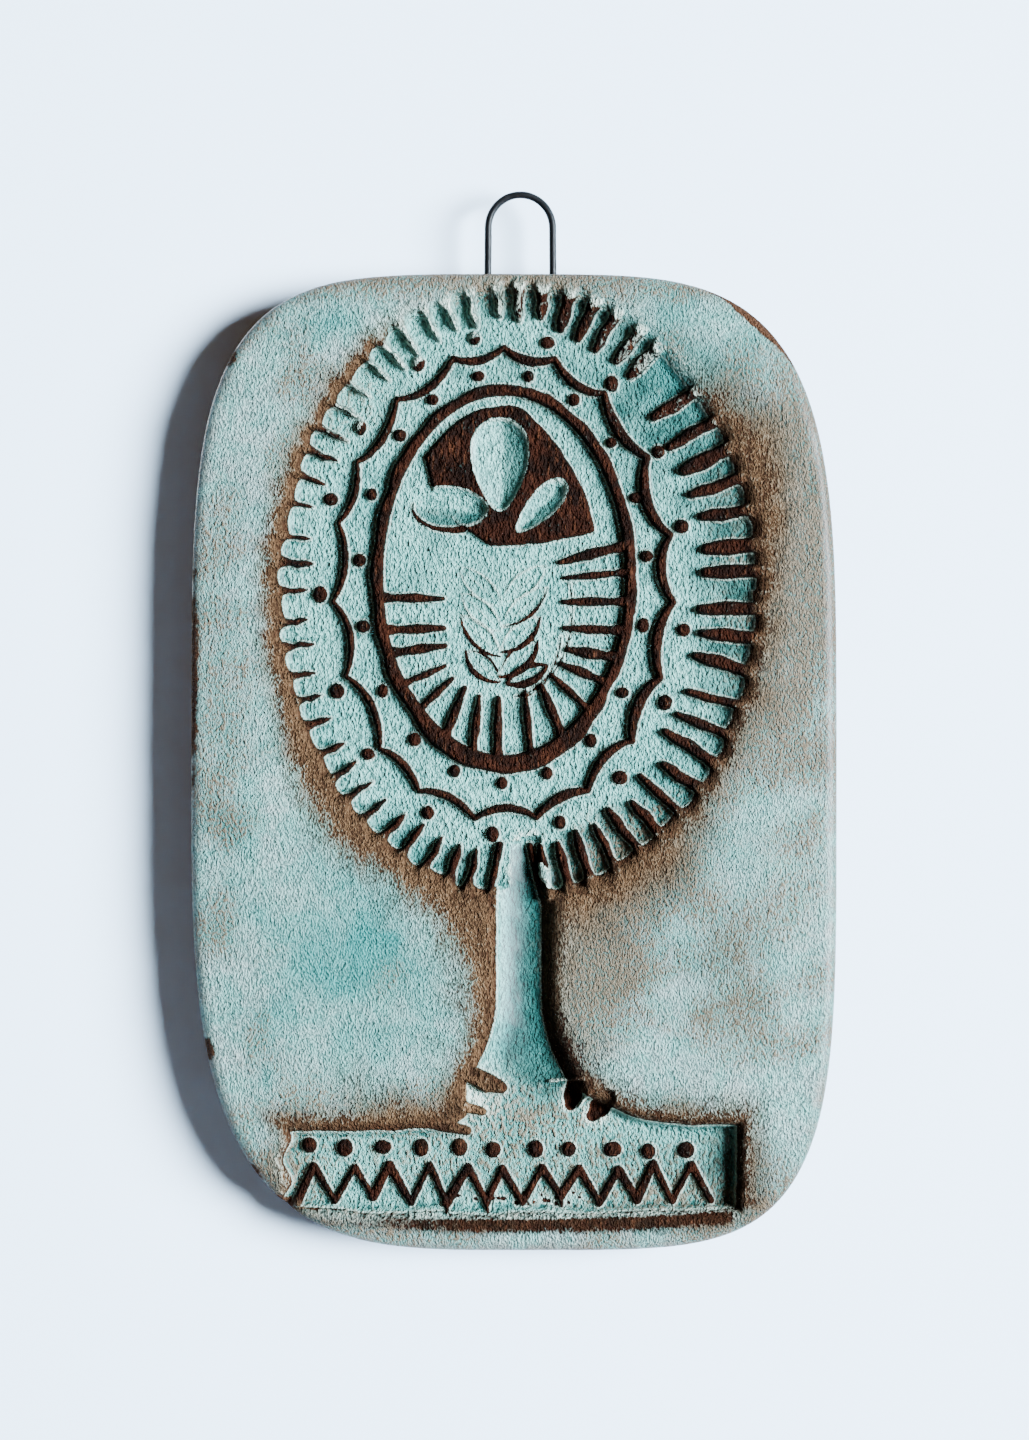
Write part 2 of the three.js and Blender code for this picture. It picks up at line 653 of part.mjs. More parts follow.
const group = new THREE.Group();
const tile = new THREE.Mesh(toGeometry(tileBody()), glaze);
tile.name = "tile_slab";
const wire = new THREE.Mesh(wireLoop(), darkWire);
wire.name = "hanging_wire";
group.add(tile, wire);

export default group;
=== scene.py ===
import math

import bpy
import numpy as np
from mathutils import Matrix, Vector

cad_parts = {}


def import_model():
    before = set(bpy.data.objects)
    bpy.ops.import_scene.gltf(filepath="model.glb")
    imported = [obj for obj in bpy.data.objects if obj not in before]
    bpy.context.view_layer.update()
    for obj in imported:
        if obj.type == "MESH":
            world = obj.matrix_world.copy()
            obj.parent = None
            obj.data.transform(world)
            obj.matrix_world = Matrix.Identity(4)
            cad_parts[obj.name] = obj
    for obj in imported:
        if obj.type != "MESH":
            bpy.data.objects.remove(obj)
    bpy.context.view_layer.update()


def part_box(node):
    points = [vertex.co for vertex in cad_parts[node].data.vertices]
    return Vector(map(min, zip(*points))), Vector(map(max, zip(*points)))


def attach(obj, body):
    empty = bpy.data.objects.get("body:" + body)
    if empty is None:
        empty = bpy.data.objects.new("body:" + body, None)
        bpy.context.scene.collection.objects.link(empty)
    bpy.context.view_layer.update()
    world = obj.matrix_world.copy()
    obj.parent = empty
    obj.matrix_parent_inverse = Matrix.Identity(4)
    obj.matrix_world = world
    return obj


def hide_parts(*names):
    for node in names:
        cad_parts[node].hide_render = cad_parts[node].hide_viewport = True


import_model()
tileLow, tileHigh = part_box("tile_slab")
wireLow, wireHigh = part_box("hanging_wire")
mm = 0.001

# The tile's relief is worked out in millimetres from the middle of its face:
# u to the right, v up, and a height that is negative where the clay is sunk.
tileMid = ((tileLow.x + tileHigh.x) / 2, (tileLow.z + tileHigh.z) / 2)
tileSize = {
    "halfW": (tileHigh.x - tileLow.x) / 2 / mm,
    "halfH": (tileHigh.z - tileLow.z) / 2 / mm,
    "thick": (tileHigh.y - tileLow.y) / mm,
    "cornerPowers": (4.0, 4.4, 3.5, 4.7),
    "edgeRound": 2.5,
    "faceDome": 0.9,
    "domeOver": 15,
    "grain": 0.19,
    "triangles": 176000,
}

rng = np.random.default_rng(41)
cell = tileSize["grain"]
cols = int(2 * tileSize["halfW"] / cell) + 9
rows = int(2 * tileSize["halfH"] / cell) + 9
uAxis = (np.arange(cols) - (cols - 1) / 2) * cell
vAxis = (np.arange(rows) - (rows - 1) / 2) * cell
gridU, gridV = np.meshgrid(uAxis, vAxis)


def smooth(a, b, x):
    t = np.clip((x - a) / (b - a), 0, 1)
    return t * t * (3 - 2 * t)


def blur(field, size):
    span = max(1, int(3 * size / cell))
    kernel = np.exp(-0.5 * (np.arange(-span, span + 1) * cell / size) ** 2)
    kernel /= kernel.sum()
    wide = np.pad(field, span, mode="edge")
    wide = np.apply_along_axis(lambda r: np.convolve(r, kernel, mode="valid"), 1, wide)
    return np.apply_along_axis(lambda r: np.convolve(r, kernel, mode="valid"), 0, wide)


def waves(size, count=26):
    # a soft, uneven field from waves in many directions, about -1 to 1
    out = np.zeros_like(gridU)
    for _ in range(count):
        turn = rng.uniform(0, 2 * math.pi)
        length = size * rng.uniform(0.6, 1.8)
        phase = rng.uniform(0, 2 * math.pi)
        out += np.sin((gridU * math.cos(turn) + gridV * math.sin(turn)) * 2 * math.pi / length + phase)
    return out / math.sqrt(count)


def windowAt(cu, cv, span):
    c0, c1 = np.searchsorted(uAxis, [cu - span, cu + span])
    r0, r1 = np.searchsorted(vAxis, [cv - span, cv + span])
    return slice(r0, r1), slice(c0, c1)


def stroke(points, widths):
    # window and signed distance (positive inside) of a line of varying width
    pts = np.array(points, float)
    span = float(np.ptp(pts, axis=0).max() / 2 + max(widths) + 1.5)
    mid = (pts.max(0) + pts.min(0)) / 2
    win = windowAt(mid[0], mid[1], span)
    best = np.full(gridU[win].shape, -9.0)
    for a, b, wa, wb in zip(pts[:-1], pts[1:], widths[:-1], widths[1:]):
        d = b - a
        t = np.clip(((gridU[win] - a[0]) * d[0] + (gridV[win] - a[1]) * d[1]) / (d @ d + 1e-9), 0, 1)
        away = np.hypot(gridU[win] - a[0] - t * d[0], gridV[win] - a[1] - t * d[1])
        best = np.maximum(best, (wa + (wb - wa) * t) / 2 - away)
    return win, best


def rounded(inside, edge):
    t = np.clip(inside / edge, 0, 1)
    return 1 - (1 - t) ** 2


def ellipseInside(cu, cv, rw, rh):
    # about the distance in from an ellipse's line, negative outside
    du, dv = (gridU - cu), (gridV - cv)
    level = np.hypot(du / rw, dv / rh) + 1e-6
    slope = np.hypot(du / rw**2, dv / rh**2) / level + 1e-6
    return (1 - level) / slope


def cornerPower(u, v):
    quarters = [(u >= 0) & (v >= 0), (u < 0) & (v >= 0), (u < 0) & (v < 0)]
    return np.select(quarters, tileSize["cornerPowers"][:3], tileSize["cornerPowers"][3])


def slabInside(u, v):
    # about the distance in from the slab's outline
    power = cornerPower(u, v)
    halfW, halfH = tileSize["halfW"], tileSize["halfH"]
    a, b = np.abs(u / halfW) + 1e-9, np.abs(v / halfH) + 1e-9
    level = (a**power + b**power) ** (1 / power)
    slope = np.hypot((a / level) ** (power - 1) / halfW, (b / level) ** (power - 1) / halfH)
    return (1 - level) / slope


height = np.zeros_like(gridU)
line = np.full_like(gridU, -3.0)
fade = np.ones_like(gridU)


def raiseTo(win, inside, base, rise, edge):
    # adds a raised form on the floor and marks its top as brown
    top = base + rise * rounded(inside, edge)
    height[win] = np.where(inside > 0, np.maximum(height[win], top), height[win])
    line[win] = np.maximum(line[win], inside)


print("relief: sunk cup, stem and foot")
cup = {"u": 0.65, "v": 27.9, "halfW": 38.0, "halfH": 48.5, "depth": 2.05, "wall": 3.6}
fringe = {
    "bars": 61, "width": 1.95, "short": 3.9, "long": 8.3, "drop": 0.45, "edge": 0.5, "lobe": 1.15,
    "faintTurn": 0.86, "faintWide": 0.17, "stemTurn": 1.5 * math.pi, "stemGap": 0.11,
}
stem = {
    "top": -12.6, "low": -62, "depth": 3.1, "left": -2.4, "right": 4.5,
    "flare": 4.8, "flareFrom": -38, "flareOver": 14,
}
foot = {
    "left": -36.8, "right": 36.2, "top": -59.9, "low": -73.3,
    "depthLeft": 1.9, "depthRight": 3.8, "wall": 2.5,
    "dots": 11, "dotR": 1.38, "teeth": 11, "toothH": 5.8, "toothW": 1.3, "toothRise": 0.85,
}
slabEdge = slabInside(gridU, gridV)
domed = -tileSize["faceDome"] * (1 - smooth(0, tileSize["domeOver"], slabEdge)) ** 1.6
wobble = waves(9) * 0.5 + waves(4) * 0.22
# The glaze runs out between the fringe bars in rounded lobes.
barShift = 0.5 + rng.uniform(-0.13, 0.13, fringe["bars"])
barTurns = 2 * math.pi * (np.arange(fringe["bars"]) + barShift) / fringe["bars"]
barTurns += 0.07 * np.sin(barTurns)
lobeOut = fringe["lobe"] * rng.uniform(0.45, 1.3, fringe["bars"] + 1)
cupTurn = np.arctan2((gridV - cup["v"]) / cup["halfH"], (gridU - cup["u"]) / cup["halfW"]) % (2 * math.pi)
barCount = np.interp(
    cupTurn, barTurns, np.arange(fringe["bars"]), left=-0.5, right=fringe["bars"] - 0.5)
lobeShare = np.sin(math.pi * (barCount % 1.0)) ** 0.7
lobes = lobeOut[np.clip(np.floor(barCount).astype(int) + 1, 0, fringe["bars"])] * lobeShare
lobes *= 1 - 0.85 * np.exp(-(((cupTurn - 0.84) / 0.22) ** 2))
cupIn = ellipseInside(cup["u"], cup["v"], cup["halfW"] - 0.35, cup["halfH"] - 0.35)
cupIn += wobble * 0.2 + lobes


def shoulder(inside, wall):
    # 1 inside a sunk form, falling to 0 up its sloped wall
    t = np.clip((-inside + 0.8) / wall, 0, 1)
    return (1 - t) ** 2


stemFlare = np.clip((stem["flareFrom"] - gridV) / stem["flareOver"], 0, 1) ** 2
stemLeft = stem["left"] - 0.45 * smooth(-14, -24, gridV) - stem["flare"] * stemFlare
stemRight = stem["right"] - 0.8 * smooth(-24, -13, gridV) + stem["flare"] * 0.9 * stemFlare
stemSide = np.minimum(gridU - stemLeft, stemRight - gridU)
stemIn = np.minimum(stemSide, np.minimum(stem["top"] - gridV, gridV - stem["low"]))
# the foot's upper edge climbs to the ankle, steeply on the left and slowly on the right
climbLeft = 7.4 * np.exp(-np.clip(-4.2 - gridU, 0, None) / 3.2)
climbRight = 7.6 * np.exp(-np.clip(gridU - 8.6, 0, None) / 10.5) + 0.4 * np.sin(gridU * 0.21)
footTop = foot["top"] + np.where(gridU > 1, climbRight, climbLeft)
footLow = foot["low"] + 0.9 * (gridU / 37) ** 2 + 0.25 * np.sin(gridU * 0.35)
footEnds = np.minimum(gridU - foot["left"] - 0.7 * np.sin(gridV * 0.9), foot["right"] - gridU)
footIn = np.minimum(footEnds, np.minimum(footTop - gridV, gridV - footLow)) + wobble * 0.22
footShare = np.clip((gridU - foot["left"]) / (foot["right"] - foot["left"]), 0, 1)
footDepth = foot["depthLeft"] + (foot["depthRight"] - foot["depthLeft"]) * footShare**2

cupDown = cup["depth"] * shoulder(cupIn, cup["wall"])
across = np.clip((gridU - stemLeft) / (stemRight - stemLeft), 0, 1)
hollow = 0.3 + 0.72 * (1 - (1 - np.clip(across / 0.82, 0, 1)) ** 1.7)
ankle = smooth(-47, -58, gridV)
hollow = hollow * (1 - ankle) + 0.66 * ankle
wallOut = np.where(gridU > 1, -stemIn / 4.3, (0.5 - stemIn) / 3.4).clip(0, 1)
stemDown = stem["depth"] * (1 - wallOut) ** 2 * hollow
footDown = footDepth * shoulder(footIn, foot["wall"])
sunk = np.maximum(np.maximum(cupDown, stemDown), footDown)
height = domed - sunk + (waves(14) * 0.08 + waves(5) * 0.035 + waves(2.2) * 0.018)
figureIn = np.maximum(np.maximum(cupIn, stemIn), footIn)
floorCup = height.copy()

print("relief: fringe, rings, oval and petals")
for turn in barTurns:
    faint = math.exp(-((turn - fringe["faintTurn"]) / fringe["faintWide"]) ** 2)
    if abs(turn - fringe["stemTurn"]) < fringe["stemGap"] or faint > 0.95:
        continue
    c, s = math.cos(turn), math.sin(turn)
    way = np.array([c / cup["halfW"], s / cup["halfH"]])
    way /= np.hypot(*way)
    lean = rng.uniform(-0.09, 0.09)
    way = np.array([way[0] - way[1] * lean, way[1] + way[0] * lean])
    rim = np.array([cup["u"] + c * cup["halfW"], cup["v"] + s * cup["halfH"]])
    toRight = 0.5 + 0.5 * math.cos(turn - 0.1)
    long = fringe["short"] + (fringe["long"] - fringe["short"]) * toRight
    long *= (1 - 0.3 * max(0, s) ** 8) * rng.uniform(0.82, 1.12) * (1 - 0.2 * faint)
    wide = fringe["width"] * (0.49 + 0.67 * toRight) * rng.uniform(0.84, 1.16)
    wide *= 1 - 0.4 * max(0, -s * c)
    bend = rim - way * long * 0.5 + np.array([-way[1], way[0]]) * rng.uniform(-0.3, 0.3)
    spread = 1.0 + 1.3 * (1 - toRight)
    points = [rim - way * long, rim - way * long * 0.72, bend, rim - way * 0.9, rim + way * 1.2]
    widths = [wide * share for share in (0.4 + 0.35 * toRight, 1, 1.08, 0.92, spread)]
    win, inside = stroke(points, widths)
    base = floorCup[win]
    rise = (cup["depth"] - fringe["drop"]) * (1 - 0.3 * faint)
    rise = np.minimum(rise, domed[win] - 0.12 - base)
    raiseTo(win, inside + wobble[win] * 0.12, base, np.maximum(rise, 0), fringe["edge"])


rings = {
    "u": -1.75, "v": 28.8, "outerDots": 17, "outerW": 29.8, "outerH": 40.6, "dotR": 1.2,
    "innerDots": 19, "innerW": 23.4, "innerH": 33.3, "innerUp": 1.1, "scallops": 19, "scallopW": 27.6,
    "scallopH": 38.4, "sag": 1.35, "lineWidth": 1.55, "lineRise": 1.3, "dotRise": 1.1,
}


def ringPoint(k, count, rw, rh, off=0.0, up=0.0):
    turn = math.pi / 2 + 2 * math.pi * (k + off) / count
    return np.array([rings["u"] + rw * math.cos(turn), rings["v"] + up + rh * math.sin(turn)])


def addDot(cu, cv, radius, rise):
    win = windowAt(cu, cv, radius * 1.6)
    stretch = rng.uniform(0.9, 1.12)
    away = np.hypot((gridU[win] - cu) * stretch, (gridV[win] - cv) / stretch)
    dome = np.sqrt(np.clip(1 - (away / radius) ** 2, 0, 1))
    height[win] = np.maximum(height[win], floorCup[win] + rise * dome)
    line[win] = np.maximum(line[win], radius * 0.98 - away)


for k in range(rings["outerDots"]):
    off = 0.35 + rng.uniform(-0.1, 0.1)
    at = ringPoint(k, rings["outerDots"], rings["outerW"], rings["outerH"], off)
    addDot(*at, rings["dotR"] * rng.uniform(0.9, 1.12), rings["dotRise"])
for k in range(rings["innerDots"]):
    off = 0.5 + rng.uniform(-0.08, 0.08)
    at = ringPoint(k, rings["innerDots"], rings["innerW"], rings["innerH"], off, rings["innerUp"])
    addDot(*at, rings["dotR"] * rng.uniform(0.8, 0.98), rings["dotRise"])

cusps = [
    ringPoint(k, rings["scallops"], rings["scallopW"], rings["scallopH"], rng.uniform(-0.12, 0.12))
    for k in range(rings["scallops"])
]
for k in range(rings["scallops"]):
    a, b = cusps[k], cusps[(k + 1) % rings["scallops"]]
    mid = (a + b) / 2
    inward = np.array([rings["u"], rings["v"]]) - mid
    inward /= np.hypot(*inward)
    sag = rings["sag"] * rng.uniform(0.75, 1.1)
    chord = np.hypot(*(b - a))
    bows = [(t, math.sin(math.pi * t)) for t in np.linspace(0, 1, 9)]
    points = [a + (b - a) * t + inward * (sag * chord / 8.5 * bow**0.8 - 0.15) for t, bow in bows]
    body = rings["lineWidth"] * rng.uniform(0.88, 1.1) * (1 + 0.008 * mid[0])
    widths = [body * (0.62 + 0.4 * bow) for t, bow in bows]
    win, inside = stroke(points, widths)
    raiseTo(win, inside, floorCup[win], rings["lineRise"], 0.5)

oval = {"u": -1.6, "v": 29.9, "halfW": 20.6, "halfH": 30.6, "lineWidth": 2.0, "rise": 1.45}
ovalLine = ellipseInside(oval["u"], oval["v"], oval["halfW"], oval["halfH"]) + wobble * 0.22
lowSide = smooth(0.35, 1.0, (oval["v"] - gridV) / oval["halfH"])
halfLine = (oval["lineWidth"] * (1 + 0.18 * wobble)) / 2 + 0.55 * lowSide
inside = halfLine - np.abs(ovalLine - 0.35 * lowSide)
win = (slice(None), slice(None))
raiseTo(win, inside, floorCup, oval["rise"], 0.55)

# The petal panel stands at the top of the oval, and three petals are pressed back into it.
petals = {"low": 35.9, "rise": 1.05}
panelGap = oval["lineWidth"] / 2 + 1.5 + 2.6 * smooth(0, 9, gridU)
fromMid = gridU - oval["u"]
sagLine = petals["low"] + 4.6 - 5.4 * np.cos(np.clip(fromMid / 15.5, -1.5, 1.5)) ** 0.8 + 0.02 * fromMid
panelIn = np.minimum(ovalLine - panelGap, gridV - sagLine) + 0.1 * waves(4)
panelLeft = gridU + 13.2 + 0.25 * (gridV - 44) - 1.2 * np.clip(41 - gridV, 0, 10)
panelIn = np.minimum(panelIn, panelLeft)
raiseTo(win, panelIn, floorCup, petals["rise"], 0.6)
# marks each petal's half turned from the light; the glaze is painted darker there as shade
petalShade = np.zeros_like(gridU)


def petal(cu, cv, halfL, halfW, turn, taper, deep):
    win = windowAt(cu, cv, halfL * 1.35)
    c, s = math.cos(turn), math.sin(turn)
    along = ((gridU[win] - cu) * c + (gridV[win] - cv) * s) / halfL
    side = (-(gridU[win] - cu) * s + (gridV[win] - cv) * c) / (halfW * (1 + taper * np.clip(along, -1, 1)))
    level = np.hypot(along, side)
    inside = (1 - level) * min(halfL, halfW)
    shelf = np.sqrt(np.clip(1 - along**2, 1e-4, 1))
    crease = np.clip(np.abs(side + 0.12) / shelf, 0, 1)
    hollowed = deep * rounded(inside, 0.8) * (0.35 + 0.65 * (1 - crease) ** 0.9)
    bowl = floorCup[win] + petals["rise"] - hollowed
    height[win] = np.where(inside > 0, np.minimum(height[win], bowl), height[win])
    line[win] = np.where(inside > -3, np.minimum(line[win], -inside), line[win])
    across = side * (1 if c > -0.5 else -1)
    petalShade[win] = np.maximum(petalShade[win], smooth(0.05, -0.3, across) * (inside > 0))


petal(-2.3, 48.3, 7.6, 4.5, math.pi / 2, 0.36, 1.5)
petal(-10.2, 41.4, 6.0, 3.4, math.pi - 0.1, 0.05, 1.45)
petal(4.3, 41.5, 5.6, 2.2, 0.82, 0.32, 1.35)
# A raised lip follows the underside of the left petal, out past the panel.
lipTurns = np.linspace(math.pi * 0.95, math.pi * 1.6, 9)
lip = [(-10.2 + 6.3 * math.cos(t), 41.4 + 3.7 * math.sin(t)) for t in lipTurns]
win, inside = stroke(lip, [0.3, 0.5, 0.6, 0.7, 0.7, 0.8, 0.9, 1.0, 1.2])
raiseTo(win, inside, floorCup[win], 0.55, 0.35)

print("relief: basket, wheat ear and foot marks")
basket = {
    "u": -1.7, "v": 24.9, "halfW": 10.1, "halfH": 14.2, "square": 2.8,
    "rays": 17, "width": 1.62, "rise": 1.15,
}
for k in range(basket["rays"]):
    turn = math.pi * (-1.02 + 1.185 * (k + rng.uniform(-0.12, 0.12)) / (basket["rays"] - 1))
    turn += 0.1 * math.sin(2 * turn + math.pi)
    c, s = math.cos(turn), math.sin(turn)
    bulge = 2 / basket["square"]
    start = np.array([
        basket["u"] + basket["halfW"] * math.copysign(abs(c) ** bulge, c),
        basket["v"] + basket["halfH"] * math.copysign(abs(s) ** bulge, s)])
    start += np.array([c, s]) * rng.uniform(-0.6, 0.9)
    # side rays lie flatter and low ones stand steeper than a true fan
    turn -= 0.18 * math.sin(4 * turn)
    c, s = math.cos(turn), math.sin(turn)
    tip = start.copy()
    while np.hypot((tip[0] - oval["u"]) / oval["halfW"], (tip[1] - oval["v"]) / oval["halfH"]) < 0.97:
        tip += 0.1 * np.array([c, s])
    wide = basket["width"] * rng.uniform(0.82, 1.15)
    points = [start + (tip - start) * share for share in (0, 0.45, 0.8, 1)]
    win, inside = stroke(points, [wide * 0.5, wide, wide * 0.8, wide * 1.3])
    raiseTo(win, inside + wobble[win] * 0.1, floorCup[win], basket["rise"], 0.42)

# a faint scratch runs along the rays' inner ends
arcW, arcH = basket["halfW"] + 1.1, basket["halfH"] + 0.9
arcTurns = np.linspace(-1.25, 0.35, 14)
arcPoints = [(basket["u"] + arcW * math.cos(t), basket["v"] + arcH * math.sin(t)) for t in arcTurns]
win, inside = stroke(arcPoints, [0.3] * 14)
raiseTo(win, inside, floorCup[win], 0.2, 0.3)

ear = {"pairs": 4, "leafL": 9.0, "leafW": 3.3, "rise": 0.5, "lineWidth": 0.66}
earBase = basket["v"] - basket["halfH"] * 0.84


def earLeaf(foothold, turn, long, wide, lower, upper, rise, brownLow, brownHigh):
    # two bowed edges that meet at both ends, with a faint rib between them
    ahead = np.array([math.cos(turn), math.sin(turn)])
    aside = np.array([-ahead[1], ahead[0]])
    bows = [(t, math.sin(math.pi * t)) for t in np.linspace(0, 1, 9)]
    for side, thick, brown in ((-1, lower, brownLow), (1, upper, brownHigh), (0, 0.3, 0.0)):
        bend = [foothold + ahead * long * t + aside * side * wide * 0.5 * bow**0.8 for t, bow in bows]
        win, inside = stroke(bend, [thick * (0.35 + 0.65 * bow) for t, bow in bows])
        top = floorCup[win] + rise * rounded(inside, 0.3)
        height[win] = np.where(inside > 0, np.maximum(height[win], top), height[win])
        line[win] = np.maximum(line[win], np.where(inside > -0.2, inside + 0.35 * brown - 0.35, line[win]))


for k in range(ear["pairs"]):
    for way in (-1, 1):
        turn = math.pi / 2 - way * (0.8 + 0.02 * k) + rng.uniform(-0.06, 0.06)
        foothold = np.array([basket["u"] - 0.6 + 0.15 * k, earBase + 4.1 * k + (0.8 if way > 0 else 0)])
        long = ear["leafL"] * (0.92 + 0.06 * k) * rng.uniform(0.9, 1.08)
        lower = ear["lineWidth"] * (1.85 - 0.36 * k if way > 0 else 1.45 - 0.28 * k)
        upper = ear["lineWidth"] * (0.85 - 0.1 * k)
        brown = ((1.2, 0.9), (1.1, 0.3), (0.9 if way > 0 else 0.2, 0.0), (0.0, 0.0))[k]
        if way < 0:
            lower, upper, brown = upper, lower, brown[::-1]
        earLeaf(foothold, turn, long, ear["leafW"], max(lower, 0.6), max(upper, 0.55), ear["rise"], *brown)
earLeaf(np.array([basket["u"] + 0.4, earBase - 0.3]), 0.42, 7.4, 2.6, 1.3, 1.1, 0.8, 1.2, 1.2)
sprigArc = [
    (basket["u"] + 1.0 + 8.4 * math.sin(t), earBase - 2.4 + 10.5 * (1 - math.cos(t)))
    for t in np.linspace(0.1, 1.5, 12)
]
win, inside = stroke(sprigArc, [0.5] * 12)
raiseTo(win, inside - 0.08, floorCup[win], 0.4, 0.3)

for k in range(foot["dots"]):
    share = k / (foot["dots"] - 1)
    cu = foot["left"] + 3.1 + 61.6 * share + rng.uniform(-0.5, 0.5)
    cv = foot["top"] - 2.6 - 0.8 * share + rng.uniform(-0.25, 0.25)
    addDot(cu, cv, foot["dotR"] * rng.uniform(0.9, 1.1), rings["dotRise"])
knees = []
for k in range(2 * foot["teeth"] + 1):
    up = foot["toothH"] * rng.uniform(0.82, 1.02) if k % 2 else rng.uniform(-0.6, 0.7)
    ku = foot["left"] + 1.5 + 67.4 * k / (2 * foot["teeth"]) + rng.uniform(-0.3, 0.3)
    knees.append((ku, foot["low"] + 2.1 + up))
for a, b in zip(knees[:-1], knees[1:]):
    wide = foot["toothW"] * rng.uniform(0.8, 1.2)
    win, inside = stroke([a, b], [wide * 1.1, wide * 0.85])
    raiseTo(win, inside, floorCup[win], foot["toothRise"], 0.34)
# three knees were pressed a little too long
for k in (8, 10, 14):
    at = knees[k]
    win, inside = stroke([at, (at[0] + 0.2, at[1] - 1.7)], [0.8, 0.5])
    raiseTo(win, inside, floorCup[win], foot["toothRise"], 0.34)

# pinholes under the zigzag
for _ in range(26):
    cu, cv = rng.uniform(-12, 12), foot["low"] + 2.2 + rng.uniform(-0.9, 1.0)
    win = windowAt(cu, cv, 1.0)
    away = np.hypot(gridU[win] - cu, gridV[win] - cv)
    height[win] -= 0.3 * np.clip(1 - away / 0.42, 0, 1)
    line[win] = np.maximum(line[win], rng.uniform(0.3, 0.42) - away)

# Unglazed bars at the ankle and beside the stem's top: both ends (u, v), width and rise (sunk if below 0).
ankleBars = (
    (-6.6, -50.9, -2.0, -52.9, 3.3, 1.5), (-10.6, -54.9, -5.0, -56.8, 2.1, 1.4),
    (-15.4, -57.5, -7.6, -59.9, 2.6, 1.6),
    (9.9, -52.2, 9.2, -55.8, 3.0, -0.9), (15.0, -54.4, 12.8, -57.6, 3.4, -0.9),
    (-2.3, -13.4, -4.0, -21.8, 1.3, 1.4), (2.6, -13.6, 4.6, -22.4, 1.1, 1.4),
)
for u0, v0, u1, v1, wide, lift in ankleBars:
    bow = ((u0 + u1) / 2, (v0 + v1) / 2 - 0.2)
    win, inside = stroke([(u0, v0), bow, (u1, v1)], [wide * 0.9, wide, wide * 0.6])
    base = floorCup[win]
    rise = np.minimum(lift, domed[win] - 0.2 - base)
    raiseTo(win, inside + wobble[win] * 0.15, base, np.maximum(rise, 0), 0.45)
    if lift < 0:
        height[win] = np.where(inside > 0, base + lift * rounded(inside, 0.6), height[win])
# thin glazed ribs between the right-hand bars
for u0, v0, u1, v1 in ((5.6, -51.9, 11.2, -51.2), (10.6, -56.0, 13.0, -52.4)):
    win, inside = stroke([(u0, v0), (u1, v1)], [0.5, 0.8])
    ribTop = np.maximum(height[win], floorCup[win] + 1.5 * rounded(inside, 0.35))
    height[win] = np.where(inside > 0, ribTop, height[win])
    line[win] = np.where(inside > 0, -0.5, line[win])

print("relief: glaze areas")
height = blur(height, 0.12)
bowlShape = blur(height, 0.75) - height
# beside raised lines the glaze is darkened: partly glaze pooled there, partly painted shade
poolAndShade = np.clip(bowlShape / 0.34 - 0.12, 0, 1) * (line < 0.3)
# pale glaze on convex crests: partly glaze running thin there, partly painted highlight; inside the oval
# it is weaker, less so towards the bottom
paleCrestAndHighlight = np.clip(-bowlShape / 0.2 - 0.1, 0, 1)
paleCrestAndHighlight *= np.where(ovalLine > 1.5, 0.3 + 0.5 * smooth(22, 8, gridV), 1.0)
outside = -figureIn
angle = np.arctan2(gridV - cup["v"], gridU - cup["u"])


def spot(cu, cv, rw, rh, turn=0.0):
    # a soft patch round a point, 1 in its middle
    c, s = math.cos(turn), math.sin(turn)
    a = ((gridU - cu) * c + (gridV - cv) * s) / rw
    b = (-(gridU - cu) * s + (gridV - cv) * c) / rh
    return np.exp(-(a * a + b * b))


def patches(rows):
    # rows of strength, u, v, half width, half height and, where it leans, turn
    return sum(strength * spot(*place) for strength, *place in rows)


# Brown lies round the figure in a soft band: how far it stays whole, and over how far it fades.
band = {"whole": 1.1, "fades": 3.51, "merge": 2.4, "strength": 0.92}
merge = band["merge"]
joined = -merge * np.logaddexp(np.logaddexp(cupIn / merge, stemIn / merge), footIn / merge)
whole = band["whole"] + patches((
    (0.4, -37, 26, 7, 22), (2.0, -29, -8, 12, 15), (2.2, -9, -23, 9, 8), (0.7, -6, -36, 7, 14),
    (2.0, 38, 50, 10, 14), (0.7, 20, -19, 15, 9), (0.3, 8, -34, 8, 16), (1.0, 9, -46, 4, 8)))
fades = band["fades"] + 2.08 * smooth(0, 20, gridU) + patches((
    (1.95, -37, 26, 7, 22), (5.98, -29, -8, 12, 15), (7.02, -9, -23, 9, 8), (2.86, -6, -36, 7, 14),
    (8.45, 38, 50, 10, 14), (9.75, 20, -19, 15, 9), (3.38, -22, -58, 16, 4)))
halo = 1 - np.clip((joined + 0.18 * waves(9) + 0.07 * waves(2.4) - whole) / fades, 0, 1)
halo = (band["strength"] - 0.08 * smooth(0, 10, gridU)) * halo**1.3
leftOfFoot = 1 - smooth(foot["left"] - 9, foot["left"] + 4, gridU)
halo *= 1 - leftOfFoot * (1 - smooth(-62, -56, gridV))

# below the foot it narrows to a bowed line
belowFoot = gridV < foot["low"] + 0.8
under = gridV - foot["low"] + 1.9 - 0.001 * gridU**2
footLine = (smooth(-1.6, -0.5, under) * smooth(1.7, 0.5, under)) ** 0.8
footLine *= smooth(-40, 0, gridU) ** 0.6 * smooth(38, 34, gridU)
halo = np.where(belowFoot, np.maximum(halo * 0.5 * smooth(-3.4, -1.6, under), footLine), halo)

# 0 for the dark brown of the lines, 1 for the old gold at the band's outer side; the gold fading towards
# the right is partly painted shade of the slopes turned from the light
goldToneAndShade = np.clip(0.5 - 0.25 * smooth(0, 25, gridU) + 0.5 * smooth(0.2, 3.0, joined), 0, 1)
goldToneAndShade = np.where(belowFoot, 0.1, goldToneAndShade) * smooth(-0.4, 0.6, outside)
